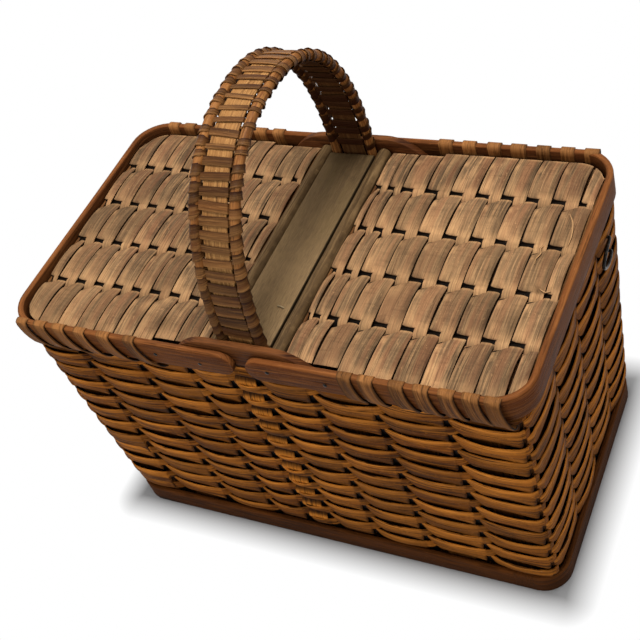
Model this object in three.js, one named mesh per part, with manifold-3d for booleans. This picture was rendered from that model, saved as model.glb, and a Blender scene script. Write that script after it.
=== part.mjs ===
// Splint picnic basket: tapering woven walls between bent hoops, a wrapped arch handle, and two
// woven lids that swing up on round rods beside a fixed centre board.
// Millimetres, Z up, X along the basket, the front towards -Y, the origin under its middle.

import * as THREE from 'three';
import { mergeVertices } from 'three/addons/utils/BufferGeometryUtils.js';
import Module from 'manifold-3d';

const wasm = await Module();
wasm.setup();

// Clearance between pieces that touch, and how flat a face counts as flat
const fit = 0.3;
const flatness = 0.02;

// Rim, the widest part of the basket
const rimLength = 460;
const rimDepth = 258;
const rimTop = 282;
const rimBandHeight = 24;
const rimBandThickness = 5.5;
const rimCornerRadius = 30;
const rimEndGap = 12;
const innerHoopDrop = 16;
const innerHoopHeight = 17.7;
const innerHoopThickness = 4;

// Base hoop, which the basket stands on
const baseLength = 440;
const baseDepth = 239;
const baseBandHeight = 21;
const baseBandThickness = 5;
const baseCornerRadius = 25;

// Woven walls
const wallThickness = 5.5;
const weaveRelief = 4;
const weaveInsetAtRim = 4.7;
const weaveInsetAtBase = 1.5;
const wallCornerRadius = 9;
const wallFoot = 1;
const weaveStart = 1;
const shelfRise = 2.3;
const weaveCourses = 22;
const endColumns = 4;
const sideColumnShares = [0.11, 0.136, 0.119, 0.088, 0.06, 0.102, 0.121, 0.132, 0.132];
const stakeWidth = 12;
const stakeThickness = 2;

// Woven floor
const floorThickness = 5;
const floorHeight = 3;

// Lashing that binds the rim hoop
const lashWidth = 11;
const lashThickness = 1.2;
const lashTurns = 6;
const lashMargin = 10;

// Ear boards, which carry the lid rods
const earHalfLength = 65;
const earRise = 6;
const earTip = 2;
const earFlatShare = 0.45;
const earShoulderShare = 0.75;
const earSeatShare = 0.75;

// Fixed board between the lids
const boardWidth = 43;
const boardThickness = 8;
const boardDrop = 4;

// Handle
const archRise = 150;
const archLean = 8;
const archPower = 2.3;
const archSteps = 28;
const handleRodRadius = 4;
const handleRodSpacing = 34.4;
const handleSplintWidth = 21;
const handleSplintThickness = 2.4;
const weaverWidth = 7;
const weaverThickness = 0.9;
const weaverClearance = 0.6;
const weaverPeriods = 20;
const weaverStartAboveEar = 4;

// Lids
const lidRodRadius = 5.75;
const lidRodGap = 0.5;
const lidRodDrop = 8;
const lidDrop = 11;
const pinRadius = 3;
const pinOverlap = 4.5;
const rodChamfer = 1;
const lidEarClearance = 0.5;
const lidRimClearance = 1.2;
const lidEndClearance = 2.1;
const battenWidth = 5;
const ribWidth = 24;
const ribThickness = 6.4;
const ribRows = 5;
const lidCornerRadius = 24;
const splintThickness = 1;
const splintCrown = 0.6;
const splintEndHeight = 1.6;
const splintsPerLid = 17;
const splintPlateauShare = 0.2;
const splintTabShare = 0.74;

// Wire catch on the right end wall
const wireRadius = 1.4;
const wireReach = 3.4;
const wireSweep = 26;
const wireColumn = 3;
const wireUpperCourse = 2;
const wireCourseStep = 2;
const wireLoopShares = [
  { reach: 0, sweep: 0, drop: 0 },
  { reach: 0.3, sweep: 0, drop: 0 },
  { reach: 0.8, sweep: 0.05, drop: 0 },
  { reach: 1, sweep: 0.6, drop: 0 },
  { reach: 1, sweep: 1, drop: 0.5 },
  { reach: 1, sweep: 0.6, drop: 1 },
  { reach: 0.8, sweep: 0.05, drop: 1 },
  { reach: 0.3, sweep: 0, drop: 1 },
  { reach: 0, sweep: 0, drop: 1 },
];

// How finely the curved pieces are stepped
const hoopCornerSteps = 3;
const earCurveSteps = 8;
const handleRodSides = 8;
const lidRodSides = 14;
const ribSides = 8;
const wireSides = 4;
const wireSteps = 14;

// Unit vectors
const alongX = new THREE.Vector3(1, 0, 0);
const upwards = new THREE.Vector3(0, 0, 1);
const quarterTurn = Math.PI / 2;

// Places worked out from the sizes
const rimBandBottom = rimTop - rimBandHeight;
const rimInner = rimDepth / 2 - rimBandThickness;
const rimInnerEnd = rimLength / 2 - rimBandThickness;
const lashSlot = lashThickness + 2 * fit;
const stakeOuter = rimInner - lashSlot;
const stakeInner = stakeOuter - stakeThickness;
const innerHoopTop = rimTop - innerHoopDrop;
const innerHoopBottom = innerHoopTop - innerHoopHeight;
const innerHoopOuter = stakeInner - fit;
const innerHoopInner = innerHoopOuter - innerHoopThickness;
const lengthOverDepth = (rimLength - rimDepth) / 2;
const wallTop = rimBandBottom - lashSlot;
const boardTop = rimTop - boardDrop;
const earOuter = rimInner - fit;
const earInner = earOuter - (earOuter - innerHoopInner) * earSeatShare;
const earTop = rimTop + earRise;
const handlePlane = earInner - 2 * fit - handleRodRadius;
const lidPlane = rimTop - lidDrop;
const hingeX = boardWidth / 2 + lidRodGap + lidRodRadius;
const hingeZ = rimTop - lidRodDrop;

// Takes off what a closed solid doesn't need and welds its corners
function welded(geometry) {
  const bare = geometry.clone();
  bare.deleteAttribute('normal');
  bare.deleteAttribute('uv');
  return mergeVertices(bare);
}

// Moves every corner of a geometry to the place that a function gives for it
function shaped(geometry, place) {
  const form = welded(geometry);
  const position = form.getAttribute('position');
  const corner = new THREE.Vector3();
  for (let i = 0; i < position.count; i += 1) {
    corner.fromBufferAttribute(position, i);
    const moved = place(corner);
    position.setXYZ(i, moved.x, moved.y, moved.z);
  }
  return form;
}

function toSolid(geometry) {
  const form = welded(geometry);
  return new wasm.Manifold(new wasm.Mesh({
    numProp: 3,
    vertProperties: new Float32Array(form.getAttribute('position').array),
    triVerts: new Uint32Array(form.index.array),
  }));
}

function toGeometry(solid) {
  const mesh = solid.getMesh();
  const geometry = new THREE.BufferGeometry();
  geometry.setAttribute('position', new THREE.BufferAttribute(mesh.vertProperties, 3));
  geometry.setIndex(new THREE.BufferAttribute(mesh.triVerts, 1));
  return geometry;
}

// Joins overlapping geometries into one closed body, with no spare corners on its flat faces
function joined(geometries) {
  const whole = geometries.map(toSolid).reduce((sum, next) => sum.add(next));
  return toGeometry(whole.simplify(flatness));
}

// A bar of a given section, bent through stations that each have a place, a side and a lift
function bent(section, stations) {
  const steps = stations.length - 1;
  return shaped(section, (corner) => {
    const station = stations[Math.round((corner.z + 0.5) * steps)];
    return station.at.clone()
      .addScaledVector(station.side, corner.x * station.width + (station.shift ?? 0))
      .addScaledVector(station.lift, corner.y * station.thickness);
  });
}

// A flat strip through stations
function ribbon(stations) {
  return bent(new THREE.BoxGeometry(1, 1, 1, 1, 1, stations.length - 1), stations);
}

// A round rod through stations
function rod(stations, radius, sides) {
  const section = new THREE.CylinderGeometry(1, 1, 1, sides, stations.length - 1);
  section.rotateX(quarterTurn);
  const sized = stations.map((station) => ({ ...station, width: radius, thickness: radius }));
  return bent(section, sized);
}

// A flat strip through points, its width along given directions and its corners mitred
function mitredRibbon(points, widthDirections, width, thickness) {
  const stations = points.map((at, i) => {
    const before = points[Math.max(i - 1, 0)];
    const after = points[Math.min(i + 1, points.length - 1)];
    const arriving = at.clone().sub(before).normalize();
    const leaving = after.clone().sub(at).normalize();
    const along = arriving.clone().add(leaving).normalize();
    const single = i === 0 || i === points.length - 1;
    const stretch = single ? 1 : 1 / along.dot(leaving);
    const side = widthDirections[i].clone();
    const lift = along.clone().cross(side).normalize();
    return { at, side, lift, width, thickness: thickness * stretch };
  });
  return ribbon(stations);
}

function roundedRectangle(halfLength, halfDepth, radius) {
  const outline = new THREE.Shape();
  outline.moveTo(-halfLength + radius, -halfDepth);
  outline.absarc(halfLength - radius, -halfDepth + radius, radius, -quarterTurn, 0);
  outline.absarc(halfLength - radius, halfDepth - radius, radius, 0, quarterTurn);
  outline.absarc(-halfLength + radius, halfDepth - radius, radius, quarterTurn, Math.PI);
  outline.absarc(-halfLength + radius, -halfDepth + radius, radius, Math.PI, Math.PI + quarterTurn);
  return outline;
}

// A closed hoop of a flat band that stands on its edge
function hoop(halfLength, halfDepth, radius, thickness, height) {
  const outline = roundedRectangle(halfLength, halfDepth, radius);
  const bore = roundedRectangle(halfLength - thickness, halfDepth - thickness, radius - thickness);
  outline.holes.push(bore);
  return new THREE.ExtrudeGeometry(
    outline,
    { depth: height, bevelEnabled: false, curveSegments: hoopCornerSteps },
  );
}

const basket = new THREE.Group();

function addPiece(name, geometry, color, roughness = 0.8, metalness = 0) {
  const material = new THREE.MeshStandardMaterial({ color, roughness, metalness });
  const piece = new THREE.Mesh(geometry, material);
  piece.name = name;
  basket.add(piece);
  return piece;
}

const colours = {
  weave: 0x8a5a2c,
  hoop: 0x7a4a2c,
  lidSplint: 0x8c6f4e,
  lidFrame: 0x6f4f33,
  board: 0x756650,
  handleRod: 0x9a6a3c,
  handleSplint: 0xb08d5c,
  handleWeaver: 0x6f5238,
  wire: 0x17150f,
};

// Base hoop and floor

addPiece(
  'base_hoop',
  hoop(baseLength / 2, baseDepth / 2, baseCornerRadius, baseBandThickness, baseBandHeight),
  colours.hoop,
);

// The outer face of the weave between its crowns and hollows, as a share of the way up
const faceAtBase = baseDepth / 2 - weaveInsetAtBase - weaveRelief;
const faceAtRim = rimDepth / 2 - weaveInsetAtRim - weaveRelief;
const endFaceAtBase = baseLength / 2 - weaveInsetAtBase - weaveRelief;
const endFaceAtRim = rimLength / 2 - weaveInsetAtRim - weaveRelief;

function riseShare(z) {
  return Math.max(z - baseBandHeight, 0) / (rimBandBottom - baseBandHeight);
}

function sideFace(z) {
  return THREE.MathUtils.lerp(faceAtBase, faceAtRim, riseShare(z));
}

function endFace(z) {
  return THREE.MathUtils.lerp(endFaceAtBase, endFaceAtRim, riseShare(z));
}

const floorOutline = roundedRectangle(
  endFace(floorHeight) - wallThickness - fit,
  sideFace(floorHeight) - wallThickness - fit,
  baseCornerRadius - baseBandThickness - wallThickness,
);
const floorSlab = new THREE.ExtrudeGeometry(
  floorOutline,
  { depth: floorThickness, bevelEnabled: false, curveSegments: hoopCornerSteps },
);
addPiece('woven_floor', floorSlab, colours.weave).position.z = floorHeight;

// Woven walls: each is one side of a tapering shell, mitred to its neighbours at the corners.
// Column by column and course by course the outer face swells out and dips in.

const weaveFoot = baseBandHeight + weaveStart;
const weaveTop = innerHoopBottom - shelfRise;
const coursePitch = (weaveTop - weaveFoot) / weaveCourses;

function courseHeight(course) {
  return weaveFoot + (course + 0.5) * coursePitch;
}

// The rows of corners up a wall: height, faces, corner radius and the course that swells there
function wallRows() {
  const hoopRow = (z) => ({
    z,
    out: baseDepth / 2 - baseBandThickness - fit - sideFace(0),
    into: wallThickness,
    radius: baseCornerRadius - baseBandThickness - fit,
  });
  const rows = [hoopRow(wallFoot), hoopRow(baseBandHeight)];
  for (let course = 0; course < weaveCourses; course += 1) {
    rows.push({
      z: courseHeight(course), out: 0, into: wallThickness, radius: wallCornerRadius, course,
    });
  }
  const shelf = innerHoopBottom - fit;
  rows.push({ z: weaveTop, out: 0, into: wallThickness, radius: wallCornerRadius });
  rows.push({ z: shelf, out: 0, into: sideFace(shelf) - stakeInner, radius: wallCornerRadius });
  rows.push({
    z: wallTop,
    out: rimInner - fit - sideFace(wallTop),
    into: sideFace(wallTop) - stakeInner,
    radius: wallCornerRadius,
  });
  return rows;
}

// The stations along a wall: half corner arcs at the ends, then each column's edge and middle
const cornerSteps = 2;

function wallStations(columnShares) {
  const stations = [];
  for (let i = cornerSteps; i > 0; i -= 1) {
    stations.push({ angle: -(quarterTurn / 2) * (i / cornerSteps), share: 0 });
  }
  let start = 0;
  const total = columnShares.reduce((sum, share) => sum + share, 0);
  columnShares.forEach((share, column) => {
    const width = share / total;
    stations.push({ angle: 0, share: start });
    stations.push({ angle: 0, share: start + width / 2, column });
    start += width;
  });
  stations.push({ angle: 0, share: 1 });
  for (let i = 1; i <= cornerSteps; i += 1) {
    stations.push({ angle: (quarterTurn / 2) * (i / cornerSteps), share: 1 });
  }
  return stations;
}

function woven(columnShares, firstColumn, halfLengthAt, faceAt) {
  const rows = wallRows();
  const stations = wallStations(columnShares);
  const last = stations.length - 1;
  const grid = new THREE.BoxGeometry(1, 1, 1, last, 1, rows.length - 1);
  return shaped(grid, (corner) => {
    const i = Math.round((corner.x + 0.5) * last);
    const { angle, share, column } = stations[i];
    const row = rows[Math.round((corner.z + 0.5) * (rows.length - 1))];
    const swells = column !== undefined && row.course !== undefined;
    const relief = swells ? weaveRelief * (-1) ** (firstColumn + column + row.course) : 0;
    const reach = corner.y < 0 ? row.out + relief : -row.into;
    const halfRun = halfLengthAt(row.z) + row.out - row.radius;
    const outwards = new THREE.Vector2(Math.sin(angle), -Math.cos(angle));
    const place = new THREE.Vector2(
      THREE.MathUtils.lerp(-halfRun, halfRun, share),
      -(faceAt(row.z) + row.out - row.radius),
    );
    place.addScaledVector(outwards, row.radius - row.out + reach);
    if (i === 0 || i === last) {
      const inwards = i === 0 ? 1 : -1;
      const along = new THREE.Vector2(Math.cos(angle), Math.sin(angle));
      place.addScaledVector(along, (inwards * fit) / 2);
    }
    return new THREE.Vector3(place.x, place.y, row.z);
  });
}

// The top of a stake, which stands between the two rim hoops
function stakeTop(x, plane) {
  const low = weaveTop;
  const high = innerHoopTop - fit;
  const stake = new THREE.BoxGeometry(stakeWidth, stakeThickness, high - low);
  stake.translate(x, -(plane - stakeThickness / 2), (high + low) / 2);
  return stake;
}

function columnMiddles(columnShares, halfRun) {
  return wallStations(columnShares)
    .filter((station) => station.column !== undefined)
    .map((station) => THREE.MathUtils.lerp(-halfRun, halfRun, station.share));
}

// The columns are counted round the basket, so that over and under alternate past its corners too
let firstColumn = 0;

function addWall(name, columnShares, halfLengthAt, faceAt, stakePlane, turn) {
  const halfRun = halfLengthAt(wallTop) - wallCornerRadius;
  const stakes = columnMiddles(columnShares, halfRun)
    .filter((x) => Math.abs(x) + stakeWidth / 2 < halfRun - rimCornerRadius / 2)
    .map((x) => stakeTop(x, stakePlane));
  const wall = joined([woven(columnShares, firstColumn, halfLengthAt, faceAt), ...stakes]);
  addPiece(name, wall, colours.weave).rotation.z = turn;
  firstColumn += columnShares.length;
}

const endColumnShares = new Array(endColumns).fill(1 / endColumns);
const backColumnShares = [...sideColumnShares].reverse();
const endStakePlane = stakeOuter + lengthOverDepth;
addWall('wall_front', sideColumnShares, endFace, sideFace, stakeOuter, 0);
addWall('wall_right', endColumnShares, sideFace, endFace, endStakePlane, quarterTurn);
addWall('wall_back', backColumnShares, endFace, sideFace, stakeOuter, Math.PI);
addWall('wall_left', endColumnShares, sideFace, endFace, endStakePlane, -quarterTurn);

// Rim hoops: a closed one inside, and two bent halves outside whose rounded ends face the handle

const innerHoop = hoop(
  innerHoopOuter + lengthOverDepth,
  innerHoopOuter,
  rimCornerRadius - rimBandThickness,
  innerHoopThickness,
  innerHoopHeight,
);
addPiece('rim_hoop_inner', innerHoop, colours.hoop).position.z = innerHoopBottom;

const rimEndShares = [0.02, 0.15, 0.5, 1];
const rimCornerSteps = 6;

function rimStations() {
  const middle = rimDepth / 2 - rimBandThickness / 2;
  const middleEnd = rimLength / 2 - rimBandThickness / 2;
  const radius = rimCornerRadius - rimBandThickness / 2;
  const roundLength = rimBandHeight / 2;
  const frontRun = rimEndShares.map((share) => ({
    x: rimEndGap / 2 + share * roundLength,
    height: rimBandHeight * Math.sqrt(1 - (1 - share) ** 2),
  }));
  const stations = [];
  const push = (x, y, angle, height) => stations.push({
    at: new THREE.Vector3(x, y, rimTop - rimBandHeight / 2),
    side: upwards,
    lift: new THREE.Vector3(Math.sin(angle), -Math.cos(angle), 0),
    width: height,
    thickness: rimBandThickness,
  });
  frontRun.forEach(({ x, height }) => push(x, -middle, 0, height));
  [-1, 1].forEach((end) => {
    for (let i = 0; i <= rimCornerSteps; i += 1) {
      const angle = ((end + 1) / 2 + i / rimCornerSteps) * quarterTurn;
      push(
        middleEnd - radius + radius * Math.sin(angle),
        end * (middle - radius) - radius * Math.cos(angle),
        angle,
        rimBandHeight,
      );
    }
  });
  frontRun.reverse().forEach(({ x, height }) => push(x, middle, Math.PI, height));
  return stations;
}

addPiece('rim_hoop_right', ribbon(rimStations()), colours.hoop);
addPiece('rim_hoop_left', ribbon(rimStations()), colours.hoop).rotation.z = Math.PI;

// Lashing: one strip in each quarter of the rim, wound round the outer hoop

const lashStart = earHalfLength + lashMargin + lashWidth / 2;
const lashEnd = rimLength / 2 - rimCornerRadius - lashWidth / 2;
const lashPitch = (lashEnd - lashStart) / (lashTurns - 1);

function lashing(mirror) {
  const clear = fit + lashThickness / 2;
  const outside = rimDepth / 2 + clear;
  const inside = rimInner - clear;
  const top = rimTop + clear;
  const bottom = rimBandBottom - clear;
  const points = [];
  for (let turn = 0; turn < lashTurns; turn += 1) {
    const x = lashStart + turn * lashPitch;
    points.push(new THREE.Vector3(mirror * x, -outside, bottom));
    points.push(new THREE.Vector3(mirror * x, -outside, top));
    points.push(new THREE.Vector3(mirror * x, -inside, top));
    points.push(new THREE.Vector3(mirror * x, -inside, bottom));
  }
  const widths = points.map(() => alongX);
  return mitredRibbon(points, widths, lashWidth, lashThickness);
}

addPiece('lashing_front_right', lashing(1), colours.hoop);
addPiece('lashing_front_left', lashing(-1), colours.hoop);
addPiece('lashing_back_left', lashing(1), colours.hoop).rotation.z = Math.PI;
addPiece('lashing_back_right', lashing(-1), colours.hoop).rotation.z = Math.PI;

// Ear boards: crescents that stand on the inner hoop and carry the pins of the lid rods

const earBottom = innerHoopTop + fit;
const earThickness = earOuter - earInner;

function earBoard() {
  const tip = earBottom + earTip;
  const outline = new THREE.Shape();
  outline.moveTo(-earHalfLength, earBottom);
  outline.lineTo(earHalfLength, earBottom);
  outline.lineTo(earHalfLength, tip);
  outline.quadraticCurveTo(
    earHalfLength * earShoulderShare,
    earTop,
    earHalfLength * earFlatShare,
    earTop,
  );
  outline.lineTo(-earHalfLength * earFlatShare, earTop);
  outline.quadraticCurveTo(-earHalfLength * earShoulderShare, earTop, -earHalfLength, tip);
  [-1, 1].forEach((side) => {
    const bore = new THREE.Path();
    bore.absarc(side * hingeX, hingeZ, pinRadius + fit, 0, 2 * Math.PI);
    outline.holes.push(bore);
  });
  const board = new THREE.ExtrudeGeometry(
    outline,
    { depth: earThickness, bevelEnabled: false, curveSegments: earCurveSteps },
  );
  board.rotateX(quarterTurn);
  board.translate(0, -earInner, 0);
  return board;
}

addPiece('ear_board_front', earBoard(), colours.hoop);
addPiece('ear_board_back', earBoard(), colours.hoop).rotation.z = Math.PI;

// Centre board, held between the feet of the handle

const boardHalfDepth = handlePlane - handleRodRadius - fit;
const board = new THREE.BoxGeometry(boardWidth, 2 * boardHalfDepth, boardThickness);
addPiece('centre_board', board, colours.board).position.z = boardTop - boardThickness / 2;

// Handle: an arch from the back ear over to the front ear, in the plane of the centre board

function archPoint(angle) {
  const cosine = Math.cos(angle);
  const sine = Math.sin(angle);
  const rise = sine ** (2 / archPower);
  const y = handlePlane * Math.sign(cosine) * Math.abs(cosine) ** (2 / archPower);
  return new THREE.Vector3(0, y + archLean * rise, rimTop + archRise * rise);
}

const footZ = innerHoopTop + fit;
const archPoints = [new THREE.Vector3(0, handlePlane, footZ)];
for (let i = 0; i <= archSteps; i += 1) {
  archPoints.push(archPoint((Math.PI * i) / archSteps));
}
archPoints.push(new THREE.Vector3(0, -handlePlane, footZ));
const arch = new THREE.CatmullRomCurve3(archPoints);
arch.arcLengthDivisions = 400;

// The frame of the arch at a share of its length: its place, its run and its outward lift
function archFrame(share) {
  const along = arch.getTangentAt(share);
  return {
    at: arch.getPointAt(share),
    along,
    side: alongX,
    lift: along.clone().cross(alongX).normalize(),
  };
}

const archFrames = [];
for (let i = 0; i <= archSteps; i += 1) {
  archFrames.push(archFrame(i / archSteps));
}

// The same between two frames, on the straight stretch that the bent pieces have there
function archStretch(share) {
  const place = share * archSteps;
  const from = Math.min(Math.floor(place), archSteps - 1);
  const blend = place - from;
  const near = archFrames[from];
  const far = archFrames[from + 1];
  return {
    at: near.at.clone().lerp(far.at, blend),
    along: near.along.clone().lerp(far.along, blend).normalize(),
    lift: near.lift.clone().lerp(far.lift, blend),
  };
}

function handleRod(side) {
  const stations = archFrames.map((frame) => ({
    ...frame,
    at: frame.at.clone().setX((side * handleRodSpacing) / 2),
  }));
  return rod(stations, handleRodRadius, handleRodSides);
}

addPiece('handle_rod_left', handleRod(-1), colours.handleRod);
addPiece('handle_rod_right', handleRod(1), colours.handleRod);

// The middle splint runs on down inside both walls to the floor
function handleSplint() {
  const tailPlane = (z) => sideFace(z) - wallThickness - 2 * fit - handleSplintThickness / 2;
  const tailFoot = floorHeight + floorThickness + fit;
  const tail = (side) => [
    new THREE.Vector3(0, side * tailPlane(tailFoot), tailFoot),
    new THREE.Vector3(0, side * tailPlane(baseBandHeight), baseBandHeight),
    new THREE.Vector3(0, side * Math.min(tailPlane(weaveTop), handlePlane), weaveTop),
  ];
  const lifted = (at, along) => ({
    at,
    side: alongX,
    lift: along.clone().cross(alongX).normalize(),
  });
  const back = tail(1);
  const front = tail(-1).reverse();
  const stations = [
    ...back.map((at) => lifted(at, upwards)),
    ...archFrames,
    ...front.map((at) => lifted(at, upwards.clone().negate())),
  ].map((station) => ({
    ...station, width: handleSplintWidth, thickness: handleSplintThickness,
  }));
  return ribbon(stations);
}

addPiece('handle_splint', handleSplint(), colours.handleSplint);

// The weaver is one unbroken strip. It passes over the middle splint and under both rods, turns
// round a rod, passes back under the splint and over both rods, and so on along the whole arch.
function weaverCycle() {
  const rodX = handleRodSpacing / 2;
  const faces = 6;
  const clear = handleRodRadius + weaverClearance + weaverThickness / 2;
  const ring = clear / Math.cos(Math.PI / faces);
  const acrossX = rodX - ring - fit;
  const over = handleSplintThickness / 2 + weaverClearance + weaverThickness / 2;
  const stops = [
    { x: -acrossX, lift: over, share: 0 },
    { x: acrossX, lift: over, share: 0 },
  ];
  for (let i = 0; i <= faces; i += 1) {
    const angle = Math.PI + (2 * Math.PI * i) / faces;
    stops.push({
      x: rodX + ring * Math.cos(angle),
      lift: ring * Math.sin(angle),
      share: i / faces / 2,
    });
  }
  stops.push({ x: acrossX, lift: -over, share: 0.5 });
  stops.push({ x: -acrossX, lift: -over, share: 0.5 });
  for (let i = 0; i <= faces; i += 1) {
    const angle = (2 * Math.PI * i) / faces;
    stops.push({
      x: -rodX + ring * Math.cos(angle),
      lift: ring * Math.sin(angle),
      share: (1 + i / faces) / 2,
    });
  }
  return stops;
}

function handleWeaver() {
  const length = arch.getLength();
  const foot = earTop + weaverStartAboveEar - footZ;
  const startShare = foot / length;
  const periodShare = (1 - 2 * startShare) / weaverPeriods;
  const cycle = weaverCycle();
  const points = [];
  const widths = [];
  for (let period = 0; period < weaverPeriods; period += 1) {
    cycle.forEach((stop) => {
      const frame = archStretch(startShare + (period + stop.share) * periodShare);
      points.push(frame.at.clone().addScaledVector(frame.lift, stop.lift).setX(stop.x));
      widths.push(frame.along);
    });
  }
  return mitredRibbon(points, widths, weaverWidth, weaverThickness);
}

addPiece('handle_weaver', handleWeaver(), colours.handleWeaver);

// Lids. Both are made as the right one, and the left one is turned half round.

const lidHalfDepth = stakeOuter - lidRimClearance;
const lidHalfDepthAtEar = earInner - lidEarClearance;
const lidStart = hingeX + lidRodRadius + fit;
const lidEnd = rimInnerEnd - lidEndClearance;
const ribPitch = (2 * lidHalfDepth) / ribRows;
const splintsStart = lidStart + battenWidth + fit;
const splintsEnd = lidEnd - battenWidth - fit;
const tabPitch = (splintsEnd - splintsStart) / (splintsPerLid + 1);
const splintLift = ribThickness / 2 + fit + splintThickness / 2;

function rowMiddle(row) {
  return (row - (ribRows - 1) / 2) * ribPitch;
}

// The round rod that a lid turns on, with a pin at each end for the ear boards
function lidRod() {
  const shoulder = earInner - fit;
  const pinEnd = earInner + pinOverlap;
  const half = [
    [0, pinEnd],
    [pinRadius, pinEnd],
    [pinRadius, shoulder],
    [lidRodRadius - rodChamfer, shoulder],
    [lidRodRadius, shoulder - rodChamfer],
  ];
  const front = half.map(([radius, reach]) => new THREE.Vector2(radius, -reach));
  const back = half.map(([radius, reach]) => new THREE.Vector2(radius, reach)).reverse();
  return new THREE.LatheGeometry([...front, ...back], lidRodSides);
}

// The frame under the splints: five ribs along the lid, held by a batten at each end
function lidFrame() {
  const battenReach = rowMiddle(ribRows - 1) + ribThickness / 2;
  const ribs = [];
  for (let row = 0; row < ribRows; row += 1) {
    const rib = new THREE.CylinderGeometry(1, 1, 1, ribSides);
    rib.rotateZ(quarterTurn);
    const start = lidStart + battenWidth / 2;
    const end = lidEnd - battenWidth / 2;
    rib.scale(end - start, ribWidth / 2, ribThickness / 2);
    rib.translate((start + end) / 2, rowMiddle(row), lidPlane);
    ribs.push(rib);
  }
  const battens = [lidStart, lidEnd - battenWidth].map((start) => {
    const batten = new THREE.BoxGeometry(battenWidth, 2 * battenReach, ribThickness);
    batten.translate(start + battenWidth / 2, 0, lidPlane);
    return batten;
  });
  return joined([...ribs, ...battens]);
}

// How far a splint reaches towards the rim: less beside the ear boards and in the round corner
function splintReach(nearX, farX) {
  const cornerX = lidEnd - lidCornerRadius;
  const cornerY = lidHalfDepth - lidCornerRadius;
  const over = Math.max(farX - cornerX, 0);
  const arc = cornerY + Math.sqrt(lidCornerRadius ** 2 - over ** 2);
  const besideEar = nearX < earHalfLength + fit;
  return Math.min(arc, besideEar ? lidHalfDepthAtEar : lidHalfDepth);
}

// A splint's course over and under the ribs: its height, and its width, which narrows to a tab
// where it crosses its neighbours. Even splints lie over the even ribs.
function splintCourse(even) {
  const full = 2 * tabPitch - fit;
  const tab = tabPitch * splintTabShare;
  const course = [];
  for (let row = 0; row < ribRows; row += 1) {
    const up = (row % 2 === 0) === even ? 1 : -1;
    const push = (share, height, width) => course.push({
      y: rowMiddle(row) + share * ribPitch, height: up * height, width,
    });
    if (row === 0) {
      push(-0.5, splintEndHeight, full);
    } else {
      push(-0.5, 0, tab);
    }
    push(-splintPlateauShare, splintLift, full);
    if (up > 0) {
      push(0, splintLift + splintCrown, full);
    }
    push(splintPlateauShare, splintLift, full);
    if (row === ribRows - 1) {
      push(0.5, splintEndHeight, full);
    }
  }
  return course;
}

// Cuts a course off at a reach, at both ends
function trimmed(course, reach) {
  const at = (y) => {
    const next = course.findIndex((stop) => stop.y >= y);
    const to = course[Math.max(next, 1)];
    const from = course[Math.max(next, 1) - 1];
    const share = (y - from.y) / (to.y - from.y);
    return {
      y,
      height: THREE.MathUtils.lerp(from.height, to.height, share),
      width: THREE.MathUtils.lerp(from.width, to.width, share),
    };
  };
  const inner = course.filter((stop) => Math.abs(stop.y) < reach - splintThickness);
  return [at(-reach), ...inner, at(reach)];
}

function lidSplint(index) {
  const even = index % 2 === 0;
  const edge = splintsStart + (index + 2) * tabPitch - fit / 2;
  const nearX = edge - 2 * tabPitch;
  const course = trimmed(splintCourse(even), splintReach(nearX, edge));
  const stations = course.map(({ y, height, width }, i) => {
    const before = course[Math.max(i - 1, 0)];
    const after = course[Math.min(i + 1, course.length - 1)];
    const along = new THREE.Vector3(0, after.y - before.y, after.height - before.height);
    return {
      at: new THREE.Vector3(edge, y, lidPlane + height),
      side: alongX.clone().negate(),
      lift: alongX.clone().cross(along).normalize(),
      width,
      shift: width / 2,
      thickness: splintThickness,
    };
  });
  return ribbon(stations);
}

// Both lids get the same pieces, and turn puts them on their side of the board
const lids = [
  { side: 'left', turn: Math.PI },
  { side: 'right', turn: 0 },
];

lids.forEach(({ side, turn }) => {
  const lidGroup = new THREE.Group();
  lidGroup.rotation.z = turn;
  const addLidPiece = (name, geometry, color) => {
    const piece = addPiece(name, geometry, color);
    lidGroup.add(piece);
    return piece;
  };
  addLidPiece(`lid_${side}_rod`, lidRod(), colours.board).position.set(hingeX, 0, hingeZ);
  addLidPiece(`lid_${side}_frame`, lidFrame(), colours.lidFrame);
  for (let index = 0; index < splintsPerLid; index += 1) {
    const label = String(index + 1).padStart(2, '0');
    addLidPiece(`lid_${side}_splint_${label}`, lidSplint(index), colours.lidSplint);
  }
  basket.add(lidGroup);
});

// Wire catch: a loop whose two ends sit on crowned courses of the right end wall

function wireCatch() {
  const upper = weaveCourses - wireUpperCourse;
  const seat = (course) => {
    const z = courseHeight(course);
    const halfRun = sideFace(z) - wallCornerRadius;
    const y = columnMiddles(endColumnShares, halfRun)[wireColumn];
    return new THREE.Vector3(endFace(z) + weaveRelief + 2 * fit, y, z);
  };
  const top = seat(upper);
  const low = seat(upper - wireCourseStep);
  const path = new THREE.CatmullRomCurve3(wireLoopShares.map(({ reach, sweep, drop }) => (
    top.clone().lerp(low, drop)
      .add(new THREE.Vector3(wireReach * reach, -wireSweep * sweep, 0))
  )));
  const section = new THREE.Shape();
  section.absarc(0, 0, wireRadius, 0, 2 * Math.PI);
  return new THREE.ExtrudeGeometry(
    section,
    { steps: wireSteps, curveSegments: wireSides, extrudePath: path },
  );
}

addPiece('wire_catch', wireCatch(), colours.wire, 0.35, 0.9);

export default basket;
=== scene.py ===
import bisect
import math
import random
from typing import NamedTuple

import bmesh
import bpy
from mathutils import Matrix, Vector


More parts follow.
